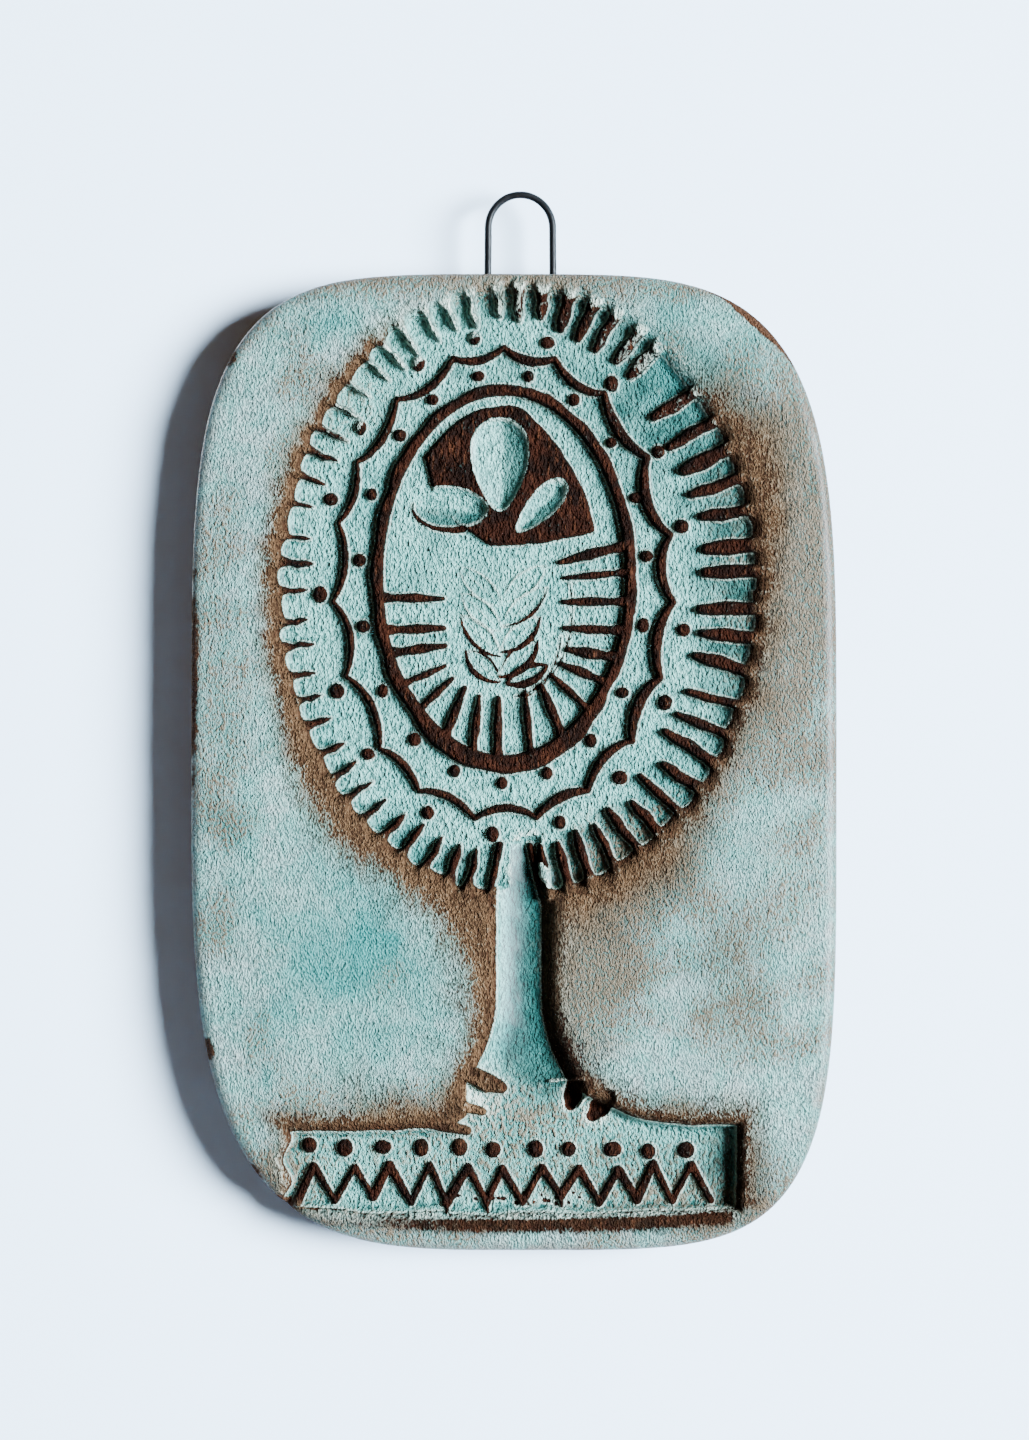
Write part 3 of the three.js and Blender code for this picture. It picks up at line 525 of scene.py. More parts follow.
# darker brown along the foot's upper left edge: partly painted shade
goldToneAndShade *= 1 - 0.6 * spot(-22, -58, 16, 4) * smooth(2.0, 0.6, joined)
# painted shade: dark brown instead of gold at the stem's right foot
goldToneAndShade *= 1 - 0.85 * spot(9, -47, 4.5, 9)
# gold on the ankle's left bars: partly painted light on their lit faces
goldToneAndShade = np.maximum(goldToneAndShade, spot(-8.5, -54.8, 6, 4.5) * (outside < 1))

# the cloth missed the upper right, and little brown is left along the top
unwiped = spot(24, 68, 8, 9)
topSide = smooth(0.82, 0.97, np.sin(angle))
upperLeft = np.exp(-(((angle - 2.0) / 0.45) ** 4)) * (cupIn > -1)
halo *= (1 - 0.9 * unwiped) * (1 - 0.72 * topSide)
line = np.where(outside > -0.6, np.maximum(line, outside), line)

# one glazed lens stands alone in the brown right of the stem's top
win, inside = stroke([(4.3, -16.4), (5.0, -18.2), (5.7, -20.2)], [0.7, 2.1, 0.8])
lens = np.maximum(height[win], domed[win] - 0.9 + 0.7 * rounded(inside, 0.6))
height[win] = np.where(inside > 0, lens, height[win])
line[win] = np.where(inside > 0, -inside, line[win])

inRings = ellipseInside(rings["u"], rings["v"], rings["outerW"], rings["outerH"]) > 0
fade = np.where(outside > 0, halo, 1 - 0.72 * upperLeft * ~inRings) * (1 - 0.5 * unwiped)
# the pooled glaze and painted shade beside lines are weaker where the glaze was left unwiped and at the
# upper left
poolAndShade *= (1 - 0.6 * unwiped) * (1 - 0.65 * upperLeft)

# Where the coat is sandy, more teal, or thick and deep. The teal and deep fields also hold painted shade
# where marked below.
inCup = cupIn > 0
downStem = (stemIn > -1) * (gridV < -14)
sand = patches((
    (1.2, 47, 34, 10, 26), (0.5, 44, 4, 8, 16), (0.25, 38, -34, 14, 26, 0.2), (0.2, -38, 64, 13, 14, 0.5),
    (0.5, -44, 74, 10, 5, 0.6), (0.7, -46, -66, 8, 8), (0.45, -48, 10, 5, 36), (0.65, 0, 78, 44, 3.5),
    (0.6, 34, -72, 20, 6), (0.15, -24, 58, 10, 10), (0.5, 16, -30, 10, 9), (0.12, -38, 30, 8, 16),
    (0.95, 12, -34, 6, 17), (0.7, 22, -15, 10, 7, 0.5), (0.5, 42, 48, 9, 16), (0.4, -22, -56, 14, 4),
    (0.4, 37, -36, 6, 13, 0.4), (0.3, 0, -65, 40, 7), (0.5, -30, -76, 24, 3), (0.55, 2, -56.5, 8, 4),
    (0.4, -35, -66, 4, 7)))
sand = np.clip(sand + 0.2 * waves(13) * (outside > 0), 0, 1)
tealAndShade = patches((
    (1.0, -26, -30, 16, 19), (0.35, -44, -4, 6, 20), (0.6, 24, -12, 12, 14, 0.6), (0.35, -30, 72, 18, 6),
    (0.85, 28, 64, 11, 14)))
# down the stem the glaze is painted more teal towards its right side: painted shade across the trough
tealAndShade = tealAndShade + 0.2 * waves(10) + downStem * smooth(0.02, 0.45, across) * (1 - 0.6 * ankle)
tealAndShade = np.clip(tealAndShade, 0, 1)
deep = patches((
    (0.9, 24, 56, 12, 15, 0.7), (0.4, 0, 64, 20, 7), (0.35, 31, -34, 8, 5, 0.9), (0.6, 34, -66, 10, 6),
    (0.3, 10, -66, 20, 5), (0.14, 37, -36, 6, 13, 0.4)))
# the deep teal on the crown's right side is partly pooled glaze and partly a painted shadow of the cup's
# right wall
deep += 0.95 * spot(37, 24, 8, 40) * inCup + 0.3 * spot(-9, 30, 9, 9) * (ovalLine > 1)
# painted shade down the stem's right side, turned from the light, and at its right foot
deep += 1.3 * downStem * smooth(0.08, 0.5, across) * (1 - ankle)
deep += 0.8 * spot(6, -49, 3.5, 6) * (stemIn > -1)
# painted shade on each petal's half turned from the light
deep += 0.1 * (footIn > 0) + 0.95 * petalShade
deep = np.clip(deep + 0.2 * waves(6) * inCup + 0.06 * waves(5), 0, 1)
# painted highlight on the glazed ribs between the bars at the ankle's left
paleCrestAndHighlight = np.maximum(paleCrestAndHighlight, 0.9 * spot(-8, -54, 6, 4) * (line < 0) * (cupIn < 0))

print("mesh: front, edge and back of the slab")
step = 0.2
ku, kv = int(tileSize["halfW"] / step), int(tileSize["halfH"] / step)
sweepU, sweepV = np.meshgrid(np.linspace(-1, 1, 2 * ku + 1), np.linspace(-1, 1, 2 * kv + 1))


def onSlab(s, t, shrink):
    # a point of the square from -1 to 1, moved onto the slab's outline shape
    power = cornerPower(s, t)
    most = np.maximum(np.abs(s), np.abs(t))
    norm = (np.abs(s) ** power + np.abs(t) ** power) ** (1 / power)
    scale = np.where(norm > 0, most / np.maximum(norm, 1e-9), 1.0)
    return s * scale * (tileSize["halfW"] - shrink), t * scale * (tileSize["halfH"] - shrink)


def sample(field, u, v):
    # the field between its cells
    x = np.clip((u - uAxis[0]) / cell, 0, cols - 1.001)
    y = np.clip((v - vAxis[0]) / cell, 0, rows - 1.001)
    x0, y0 = x.astype(int), y.astype(int)
    fx, fy = x - x0, y - y0
    top = field[y0, x0] * (1 - fx) + field[y0, x0 + 1] * fx
    low = field[y0 + 1, x0] * (1 - fx) + field[y0 + 1, x0 + 1] * fx
    return top * (1 - fy) + low * fy


frontU, frontV = onSlab(sweepU, sweepV, 0.02)
fromEdge = slabInside(frontU, frontV)
turnDown = np.clip(1 - fromEdge / tileSize["edgeRound"], 0, 1)
roundOff = tileSize["edgeRound"] * 0.62 * (1 - np.sqrt(1 - turnDown**2 * 0.995))
frontH = sample(height, frontU, frontV) - roundOff
frontH = np.minimum(frontH, -0.03)
front = np.stack([frontU, frontH, frontV], -1).reshape(-1, 3)
nu, nv = 2 * ku + 1, 2 * kv + 1
index = np.arange(nu * nv).reshape(nv, nu)
quads = [np.stack([index[:-1, :-1], index[:-1, 1:], index[1:, 1:], index[1:, :-1]], -1).reshape(-1, 4)]
rimLoop, rimS, rimT = (
    np.concatenate([f[0, :-1], f[:-1, -1], f[-1, :0:-1], f[:0:-1, 0]]) for f in (index, sweepU, sweepV))
loopCount = len(rimLoop)
walk = np.linspace(0, 2 * math.pi, loopCount, endpoint=False)
uneven = sum(np.sin(walk * k + p) for k, p in ((7, 0.4), (12, 2.0), (19, 1.1), (31, 3.0))) / 4
points = [front]
before = rimLoop
total = len(front)
edgeH = frontH.reshape(-1)[rimLoop]
backH = -tileSize["thick"]


def addLoop(u, h, v):
    # one more loop of points round the slab, joined to the one before
    global before, total
    points.append(np.stack([u, h, v], -1))
    ring = np.arange(total, total + loopCount)
    quads.append(np.stack([before, ring, np.roll(ring, -1), np.roll(before, -1)], -1))
    before, total = ring, total + loopCount


# down the side: how far in, and what share of the way down
sideSteps = (
    (0.02, 0.12), (0.0, 0.3), (0.0, 0.5), (0.04, 0.68),
    (0.1, 0.82), (0.22, 0.92), (0.5, 0.975), (0.9, 0.995))
for shrink, share in sideSteps:
    u, v = onSlab(rimS, rimT, shrink + 0.05 * (1 + uneven) * (share > 0.2))
    addLoop(u, edgeH + (backH + 0.02 - edgeH) * share, v)
backLoops = 26
for k in range(1, backLoops):
    scale = 1 - k / backLoops
    u, v = onSlab(rimS * scale, rimT * scale, 1.2 * scale)
    addLoop(u, np.full_like(u, backH + 0.01), v)
points.append(np.array([[0.0, backH + 0.01, 0.0]]))
tris = np.stack([before, np.full_like(before, total), np.roll(before, -1)], -1)
points = np.concatenate(points)
quads = np.concatenate(quads)


def toFrame(p):
    out = np.empty_like(p)
    out[:, 0] = p[:, 0] * mm + tileMid[0]
    out[:, 1] = tileLow.y - p[:, 1] * mm
    out[:, 2] = p[:, 2] * mm + tileMid[1]
    return out


def buildMesh(name, verts, quadFaces, triFaces):
    mesh = bpy.data.meshes.new(name)
    corners = np.concatenate([quadFaces.reshape(-1), triFaces.reshape(-1)])
    quadCount, triCount = len(quadFaces), len(triFaces)
    starts = np.concatenate([np.arange(quadCount) * 4, quadCount * 4 + np.arange(triCount) * 3])
    mesh.vertices.add(len(verts))
    mesh.vertices.foreach_set("co", verts.astype(np.float32).reshape(-1))
    mesh.loops.add(len(corners))
    mesh.loops.foreach_set("vertex_index", corners.astype(np.int32))
    mesh.polygons.add(len(starts))
    mesh.polygons.foreach_set("loop_start", starts.astype(np.int32))
    mesh.update(calc_edges=True)
    mesh.validate()
    return mesh


rawMesh = buildMesh("tileRaw", toFrame(points), quads, tris)
rawTile = bpy.data.objects.new("tileRaw", rawMesh)
bpy.context.scene.collection.objects.link(rawTile)
# fewer faces where the relief is smooth
reduce = rawTile.modifiers.new("reduce", "DECIMATE")
reduce.ratio = tileSize["triangles"] / (2 * len(quads) + len(tris))
depsgraph = bpy.context.evaluated_depsgraph_get()
tileMesh = bpy.data.meshes.new_from_object(rawTile.evaluated_get(depsgraph))
bpy.data.objects.remove(rawTile)
bpy.data.meshes.remove(rawMesh)
tileMesh.name = "tileGlazed"
tile = bpy.data.objects.new("tileGlazed", tileMesh)
bpy.context.scene.collection.objects.link(tile)
tileMesh.polygons.foreach_set("use_smooth", [True] * len(tileMesh.polygons))
print("mesh:", len(tileMesh.polygons), "faces")

co = np.empty(len(tileMesh.vertices) * 3, np.float32)
tileMesh.vertices.foreach_get("co", co)
co = co.reshape(-1, 3)
vertU = (co[:, 0] - tileMid[0]) / mm
vertV = (co[:, 2] - tileMid[1]) / mm
vertDown = (co[:, 1] - tileLow.y) / mm


def attribute(name, values):
    tileMesh.attributes.new(name, "FLOAT", "POINT").data.foreach_set("value", values.astype(np.float32))


# what the glaze material reads at each point of the mesh
glazeFields = {
    "line": line, "fade": fade, "sand": sand, "tealAndShade": tealAndShade, "deep": deep,
    "outside": outside, "poolAndShade": poolAndShade, "paleCrestAndHighlight": paleCrestAndHighlight, "goldToneAndShade": goldToneAndShade,
}
for name, field in glazeFields.items():
    attribute(name, sample(field, vertU, vertV))
# bare clay starts where this is above zero: low on the sides and on the back
bareClay = {"sideFrom": 2.6, "cornerU": 39, "cornerV": 71}
vertEdge = slabInside(vertU, vertV)
bareSideAndEdgeShade = np.where(vertEdge < 1.2, vertDown - bareClay["sideFrom"], -3.0)
bareSideAndEdgeShade = np.where(vertDown > tileSize["thick"] - 1.2, 3.0, bareSideAndEdgeShade)
# worn edge at the upper right, where the clay shows through
fromU, fromV = vertU - bareClay["cornerU"], vertV - bareClay["cornerV"]
worn = np.exp(-(((fromU - fromV) / math.sqrt(2) / 10) ** 2 + ((fromU + fromV) / 8) ** 2))
bareSideAndEdgeShade = np.maximum(bareSideAndEdgeShade, worn * 3.2 - 1.1 - np.clip(vertEdge, 0, 5) * 1.5)
# small chips and rubbed places on the left edge, and the second, very tall one a long strip of painted
# shade where the edge turns from the light: u, v, radius and how much taller than wide
chipsAndEdgeShade = (
    (-46.2, 66.0, 0.9, 1.3), (-52.2, 13.0, 0.55, 16.0), (-49.6, -46.6, 0.7, 1.6),
    (-42.2, -66.8, 0.8, 1.2), (-38.8, -71.3, 0.9, 1.0))
for cu, cv, radius, tall in chipsAndEdgeShade:
    bareSideAndEdgeShade = np.maximum(bareSideAndEdgeShade, 0.4 + radius - np.hypot(vertU - cu, (vertV - cv) / tall))
attribute("bare", bareSideAndEdgeShade)
attribute("rim", np.clip(1 - vertEdge / 2.2, 0, 1) * (vertDown < 4))

print("wire: bent loop")
wireSize = {
    "halfGauge": 0.6, "radius": 0.592, "waver": 0.03, "inward": 0.12,
    "sides": 20, "bendSteps": 60, "legSteps": 26,
}
loopRadius = (wireHigh.x - wireLow.x) / 2 / mm - wireSize["halfGauge"]
loopTop = wireHigh.z / mm - wireSize["halfGauge"] - loopRadius
legLow = wireLow.z / mm + 0.1
wireMid = (wireHigh.x + wireLow.x) / 2 / mm
path = [(-loopRadius, z) for z in np.linspace(legLow, loopTop, wireSize["legSteps"])]
bendTurns = np.linspace(math.pi, 0, wireSize["bendSteps"])[1:]
path += [(loopRadius * math.cos(a), loopTop + loopRadius * math.sin(a)) for a in bendTurns]
path += [(loopRadius, z) for z in np.linspace(loopTop, legLow, wireSize["legSteps"])[1:]]
path = np.array(path)
along = np.gradient(path, axis=0)
along /= np.linalg.norm(along, axis=1)[:, None]
stepCount, sideCount = len(path), wireSize["sides"]
spin = np.linspace(0, 2 * math.pi, sideCount, endpoint=False)
walkWire = np.linspace(0, 1, stepCount)
waver = 0.5 + 0.5 * np.sin(walkWire * 41) * np.sin(walkWire * 17 + 1)
thick = wireSize["radius"] * (1 - wireSize["waver"] * waver)
# bent by hand: the legs bow a little towards each other
inwardBend = wireSize["inward"] * np.sin(walkWire * math.pi * 2) ** 2
out = np.stack([along[:, 1], -along[:, 0]], -1)
centre = path + out * inwardBend[:, None] * np.sign(-out[:, :1] * path[:, :1])
ring = thick[:, None] * np.cos(spin)[None, :]
wireVerts = np.stack([
    wireMid + centre[:, 0:1] + out[:, 0:1] * ring,
    thick[:, None] * np.sin(spin)[None, :] + (wireLow.y + wireHigh.y) / 2 / mm,
    centre[:, 1:2] + out[:, 1:2] * ring,
], -1).reshape(-1, 3) * mm
grid = np.arange(stepCount * sideCount).reshape(stepCount, sideCount)
nextSide = np.roll(grid, -1, 1)
wireQuads = np.stack([grid[:-1], nextSide[:-1], nextSide[1:], grid[1:]], -1).reshape(-1, 4)
ends = np.stack([wireVerts[grid[0]].mean(0), wireVerts[grid[-1]].mean(0)])
capA = np.stack([np.full(sideCount, len(wireVerts)), np.roll(grid[0], -1), grid[0]], -1)
capB = np.stack([np.full(sideCount, len(wireVerts) + 1), grid[-1], np.roll(grid[-1], -1)], -1)
wireMesh = buildMesh(
    "hangingLoop", np.concatenate([wireVerts, ends]), wireQuads, np.concatenate([capA, capB]))
wireMesh.polygons.foreach_set("use_smooth", [True] * len(wireMesh.polygons))
wire = bpy.data.objects.new("hangingLoop", wireMesh)
bpy.context.scene.collection.objects.link(wire)

print("materials: shared effects")


def put(tree, kind, **settings):
    node = tree.nodes.new(kind)
    for key, value in settings.items():
        setattr(node, key, value)
    return node


def feed(tree, socket, value):
    if isinstance(value, bpy.types.NodeSocket):
        tree.links.new(value, socket)
    elif value is not None:
        socket.default_value = value


def calc(tree, operation, a, b=None, clamp=False):
    node = put(tree, "ShaderNodeMath", operation=operation, use_clamp=clamp)
    feed(tree, node.inputs[0], a)
    feed(tree, node.inputs[1], b)
    return node.outputs[0]


def times(tree, a, b, clamp=False):
    return calc(tree, "MULTIPLY", a, b, clamp)


def plus(tree, a, b, clamp=False):
    return calc(tree, "ADD", a, b, clamp)


def minus(tree, a, b, clamp=False):
    return calc(tree, "SUBTRACT", a, b, clamp)


def ease(tree, value, low, high, toLow=0.0, toHigh=1.0):
    node = put(tree, "ShaderNodeMapRange", interpolation_type="SMOOTHSTEP")
    for socket, given in zip(node.inputs, (value, low, high, toLow, toHigh)):
        feed(tree, socket, given)
    return node.outputs[0]


def blend(tree, share, a, b, mode="MIX"):
    node = put(tree, "ShaderNodeMix", data_type="RGBA", blend_type=mode)
    feed(tree, node.inputs[0], share)
    feed(tree, node.inputs[6], a)
    feed(tree, node.inputs[7], b)
    return node.outputs[2]


def noise(tree, vector, scale, detail=3.0, rough=0.55, warp=0.0):
    node = put(tree, "ShaderNodeTexNoise")
    given = {"Vector": vector, "Scale": scale, "Detail": detail, "Roughness": rough, "Distortion": warp}
    for name, value in given.items():
        feed(tree, node.inputs[name], value)
    return node.outputs["Fac"]


def forSize(tree, perMetre, size):
    # a texture scale that gets coarser as the group's Size grows
    return calc(tree, "DIVIDE", perMetre, size)


def makeGroup(name, inputs, outputs):
    # a group of nodes with named number inputs, and outputs that are numbers too
    tree = bpy.data.node_groups.new(name, "ShaderNodeTree")
    for label, value in inputs:
        socket = tree.interface.new_socket(label, in_out="INPUT", socket_type="NodeSocketFloat")
        socket.default_value = value
    for label in outputs:
        tree.interface.new_socket(label, in_out="OUTPUT", socket_type="NodeSocketFloat")
    start = tree.nodes.new("NodeGroupInput")
    end = tree.nodes.new("NodeGroupOutput")
    place = put(tree, "ShaderNodeTexCoord").outputs["Object"]
    return tree, start.outputs, end.inputs, place


# A crisp but uneven edge where one coat gives way to another, from a distance in millimetres.
tree, given, result, place = makeGroup(
    "raggedEdge",
    [("Distance", 0.0), ("Ragged", 0.2), ("Softness", 0.06), ("Size", 1.0), ("Rim Width", 0.4)],
    ["Mask", "Rim"])
coarse = noise(tree, place, forSize(tree, 900.0, given["Size"]), 2.0)
fine = noise(tree, place, forSize(tree, 3100.0, given["Size"]), 3.0)
shake = plus(tree, minus(tree, coarse, 0.5), times(tree, minus(tree, fine, 0.5), 0.7))
moved = plus(tree, given["Distance"], times(tree, shake, given["Ragged"]))
mask = ease(tree, moved, times(tree, given["Softness"], -1.0), given["Softness"])
near = ease(tree, moved, times(tree, given["Rim Width"], -1.0), 0.0)
feed(tree, result["Mask"], mask)
feed(tree, result["Rim"], times(tree, near, minus(tree, 1.0, mask)))
raggedEdge = tree

# Slow clouds and finer smudges for how thick or worn a coat is.
tree, given, result, place = makeGroup(
    "mottle", [("Size", 1.0), ("Contrast", 1.0), ("Warp", 0.6)], ["Cloud", "Smudge", "Streak"])
cloud = noise(tree, place, forSize(tree, 62.0, given["Size"]), 4.0, 0.55, given["Warp"])
smudge = noise(tree, place, forSize(tree, 260.0, given["Size"]), 4.0, 0.6, given["Warp"])
lean = put(tree, "ShaderNodeMapping")
lean.inputs["Rotation"].default_value = (0, 0.42, 0)
lean.inputs["Scale"].default_value = (900, 900, 110)
feed(tree, lean.inputs["Vector"], place)
streak = noise(tree, lean.outputs[0], 1.0, 2.0)
for label, field in (("Cloud", cloud), ("Smudge", smudge), ("Streak", streak)):
    centred = times(tree, minus(tree, field, 0.5), given["Contrast"])
    feed(tree, result[label], plus(tree, centred, 0.5, clamp=True))
mottle = tree

# Fine sandy tooth of the clay under a thin coat, with open pinholes.
tree, given, result, place = makeGroup(
    "clayGrain", [("Size", 1.0), ("Coarse", 0.5), ("Pits", 0.5)], ["Height", "Pit", "Fleck"])
slant = put(tree, "ShaderNodeMapping")
slant.inputs["Rotation"].default_value = (0, -0.85, 0)
slant.inputs["Scale"].default_value = (1.0, 1.0, 0.6)
feed(tree, slant.inputs["Vector"], place)
tooth = noise(tree, slant.outputs[0], forSize(tree, 2300.0, given["Size"]), 2.0, 0.6)
bumps = noise(tree, slant.outputs[0], forSize(tree, 1150.0, given["Size"]), 2.0, 0.5)
tooth, bumps = ease(tree, tooth, 0.28, 0.72), ease(tree, bumps, 0.3, 0.7)
cells = put(tree, "ShaderNodeTexVoronoi")
feed(tree, cells.inputs["Vector"], place)
feed(tree, cells.inputs["Scale"], forSize(tree, 420.0, given["Size"]))
pitted = minus(tree, 1.0, times(tree, given["Pits"], 0.22))
chance = calc(tree, "GREATER_THAN", cells.outputs["Color"], pitted)
pit = times(tree, ease(tree, cells.outputs["Distance"], 0.16, 0.06), chance)
mixed = plus(tree, tooth, times(tree, bumps, given["Coarse"]))
fleck = noise(tree, place, forSize(tree, 1700.0, given["Size"]), 2.0)
feed(tree, result["Height"], minus(tree, mixed, times(tree, pit, 1.6)))
feed(tree, result["Pit"], pit)
feed(tree, result["Fleck"], ease(tree, fleck, 0.62, 0.72))
clayGrain = tree

# Close chatter marks left by a blade drawn over leather-hard clay.
tree, given, result, place = makeGroup(
    "bladeMarks", [("Size", 1.0), ("Depth", 1.0)], ["Height", "Worn"])
swing = put(tree, "ShaderNodeMapping")
swing.inputs["Rotation"].default_value = (0, 0.5, 0)
swing.inputs["Scale"].default_value = (2300, 2300, 420)
feed(tree, swing.inputs["Vector"], place)
marks = noise(tree, swing.outputs[0], forSize(tree, 1.0, given["Size"]), 2.0, 0.5, 0.4)
feed(tree, result["Height"], times(tree, marks, given["Depth"]))
feed(tree, result["Worn"], ease(tree, marks, 0.56, 0.72))
bladeMarks = tree


def useGroup(tree, group, **values):
    node = tree.nodes.new("ShaderNodeGroup")
    node.node_tree = group
    for key, given in values.items():
        feed(tree, node.inputs[key.replace("_", " ")], given)
    return node.outputs


def newMaterial(name):
    material = bpy.data.materials.new(name)
    material.use_nodes = True
    tree = material.node_tree
    return material, tree, tree.nodes["Principled BSDF"]


def readField(tree, name):
    return put(tree, "ShaderNodeAttribute", attribute_type="GEOMETRY", attribute_name=name).outputs["Fac"]


def rgb(r, g, b):
    # screen colour to linear light
    shares = [c / 255 for c in (r, g, b)]
    return (*[((c + 0.055) / 1.055) ** 2.4 if c > 0.0404 else c / 12.92 for c in shares], 1.0)


print("materials: glazed tile")
glaze, tree, shader = newMaterial("glazedClay")
fields = {name: readField(tree, name) for name in (*glazeFields, "bare", "rim")}
cloudy = useGroup(tree, mottle, Size=1.0, Contrast=1.5, Warp=0.5)
grainy = useGroup(tree, clayGrain, Size=1.0, Coarse=0.8, Pits=0.4)
fineGrain = useGroup(tree, clayGrain, Size=0.72, Coarse=0.6, Pits=0.5)
blade = useGroup(tree, bladeMarks, Size=1.0, Depth=1.0)
wipe = useGroup(
    tree, raggedEdge, Distance=fields["line"], Ragged=0.34, Softness=0.1, Size=1.0, Rim_Width=0.42)
onGround = ease(tree, fields["outside"], 0.0, 2.0)
grain = put(tree, "ShaderNodeMix", data_type="FLOAT")
feed(tree, grain.inputs[0], onGround)
feed(tree, grain.inputs[2], grainy["Height"])
feed(tree, grain.inputs[3], plus(tree, fineGrain["Height"], 0.06))
grain = grain.outputs[0]
edgeWipeAndShade = useGroup(
    tree, raggedEdge, Distance=fields["bare"], Ragged=1.6, Softness=0.25, Size=2.6, Rim_Width=0.5)

lightGlaze, midGlaze, deepGlazeAndShade = rgb(113, 180, 178), rgb(46, 136, 138), rgb(8, 62, 60)
sandGlaze, greyGlaze = rgb(104, 98, 84), rgb(164, 188, 194)
# pale glaze for crests and wiped edges, partly standing in as painted highlight
paleRimAndHighlight = rgb(190, 216, 208)
darkBrown, warmBrown, goldBrown = rgb(14, 5, 2), rgb(37, 17, 9), rgb(102, 82, 61)
chatterBrown, oldBrown = rgb(72, 44, 29), rgb(54, 39, 27)

tealAndShadeShare = times(tree, minus(tree, cloudy["Cloud"], 0.42), 0.7)
tealAndShadeShare = plus(tree, times(tree, fields["tealAndShade"], 0.85), tealAndShadeShare, clamp=True)
glazeColour = blend(tree, tealAndShadeShare, lightGlaze, midGlaze)
greyShare = times(tree, onGround, ease(tree, cloudy["Smudge"], 0.25, 0.8, 0.15, 0.75))
greyShare = times(tree, greyShare, minus(tree, 1.0, fields["tealAndShade"], clamp=True))
glazeColour = blend(tree, greyShare, glazeColour, greyGlaze)
sandShare = times(tree, minus(tree, grain, 0.85), 0.8)
sandShare = plus(tree, fields["sand"], sandShare, clamp=True)
sandShare = times(tree, sandShare, plus(tree, times(tree, cloudy["Streak"], 0.4), 0.55, clamp=True))
sandShare = times(tree, ease(tree, sandShare, 0.05, 0.7), ease(tree, fields["sand"], 0.04, 0.3))
glazeColour = blend(tree, sandShare, glazeColour, sandGlaze)
# the coat lies deeper in the hollows of the tooth, and the dark teal beside raised lines is partly pooled
# glaze and partly painted shade; the pale on crests is partly thin glaze and partly painted highlight
hollowsAndShade = ease(tree, grain, 1.05, 0.3, 0.0, 0.6)
hollowsAndShade = plus(tree, hollowsAndShade, times(tree, fields["poolAndShade"], 0.45))
# deep teal where the glaze is thick, and painted shade where the deep field holds it
deepGlazeAndShadeShare = times(tree, fields["deep"], ease(tree, cloudy["Smudge"], 0.1, 0.8, 0.7, 1.0))
deepGlazeAndShadeShare = calc(tree, "MAXIMUM", deepGlazeAndShadeShare, hollowsAndShade, clamp=True)
glazeColour = blend(tree, deepGlazeAndShadeShare, glazeColour, deepGlazeAndShade)
paleCrestsAndHighlight = times(tree, fields["paleCrestAndHighlight"], ease(tree, grain, 0.6, 1.2, 0.2, 0.9))
glazeColour = blend(tree, paleCrestsAndHighlight, glazeColour, paleRimAndHighlight)

brownColour = blend(tree, ease(tree, cloudy["Smudge"], 0.3, 0.75), darkBrown, warmBrown)
brownColour = blend(tree, times(tree, blade["Worn"], 0.55), brownColour, chatterBrown)
streaky = plus(tree, times(tree, grain, 0.5), times(tree, cloudy["Streak"], 0.7))
haloColour = blend(tree, ease(tree, streaky, 0.4, 1.1), oldBrown, goldBrown)
brownColour = blend(tree, fields["goldToneAndShade"], brownColour, haloColour)

breakUp = times(tree, minus(tree, grain, 0.88), -0.42)
breakUp = plus(tree, breakUp, times(tree, minus(tree, cloudy["Smudge"], 0.5), 0.1))
# brown thins out softly, and the grain only breaks it where it is already thin
breakUp = times(tree, breakUp, ease(tree, fields["fade"], 0.0, 0.25))
stay = plus(tree, times(tree, fields["fade"], 1.35), breakUp, clamp=True)
brownShare = times(tree, wipe["Mask"], stay)
# a pale band just outside each brown line: partly glaze thin at the wiped edge, partly painted highlight
colour = blend(tree, times(tree, times(tree, wipe["Rim"], stay), 0.5), glazeColour, paleRimAndHighlight)
colour = blend(tree, brownShare, colour, brownColour)
colour = blend(tree, times(tree, grainy["Fleck"], 0.16), colour, warmBrown)
colour = blend(tree, times(tree, grainy["Pit"], 0.85), colour, darkBrown)
clayColour = blend(tree, cloudy["Smudge"], rgb(54, 36, 26), rgb(84, 61, 45))
clayColour = blend(tree, times(tree, grainy["Fleck"], 0.5), clayColour, rgb(60, 42, 34))
rimWear = plus(tree, cloudy["Smudge"], times(tree, grain, 0.25))
rimWear = times(tree, fields["rim"], ease(tree, rimWear, 0.45, 0.95, 0.1, 0.8))
colour = blend(tree, rimWear, colour, blend(tree, cloudy["Cloud"], goldBrown, sandGlaze))
# bare clay on the sides, back, worn corner and chips, and a strip of painted shade along the left edge
colour = blend(tree, edgeWipeAndShade["Mask"], colour, clayColour)
colour = blend(tree, 1.0, colour, (0.93, 0.79, 0.68, 1.0), "MULTIPLY")
feed(tree, shader.inputs["Base Color"], colour)

dry = calc(tree, "MAXIMUM", brownShare, edgeWipeAndShade["Mask"])
rough = plus(tree, ease(tree, cloudy["Smudge"], 0.2, 0.9, 0.4, 0.6), times(tree, dry, 0.2), clamp=True)
rough = plus(tree, rough, times(tree, sandShare, 0.18), clamp=True)
feed(tree, shader.inputs["Roughness"], rough)
feed(tree, shader.inputs["Specular IOR Level"], ease(tree, dry, 0.0, 0.8, 0.1, 0.03))
shader.inputs["Coat Roughness"].default_value = 0.38
shader.inputs["Coat IOR"].default_value = 1.45
feed(tree, shader.inputs["Coat Weight"], ease(tree, dry, 0.0, 0.8, 0.22, 0.0))
relief = times(tree, grain, ease(tree, fields["outside"], -0.5, 2.0, 1.35, 1.9))
relief = plus(tree, relief, times(tree, times(tree, blade["Height"], brownShare), 0.8))
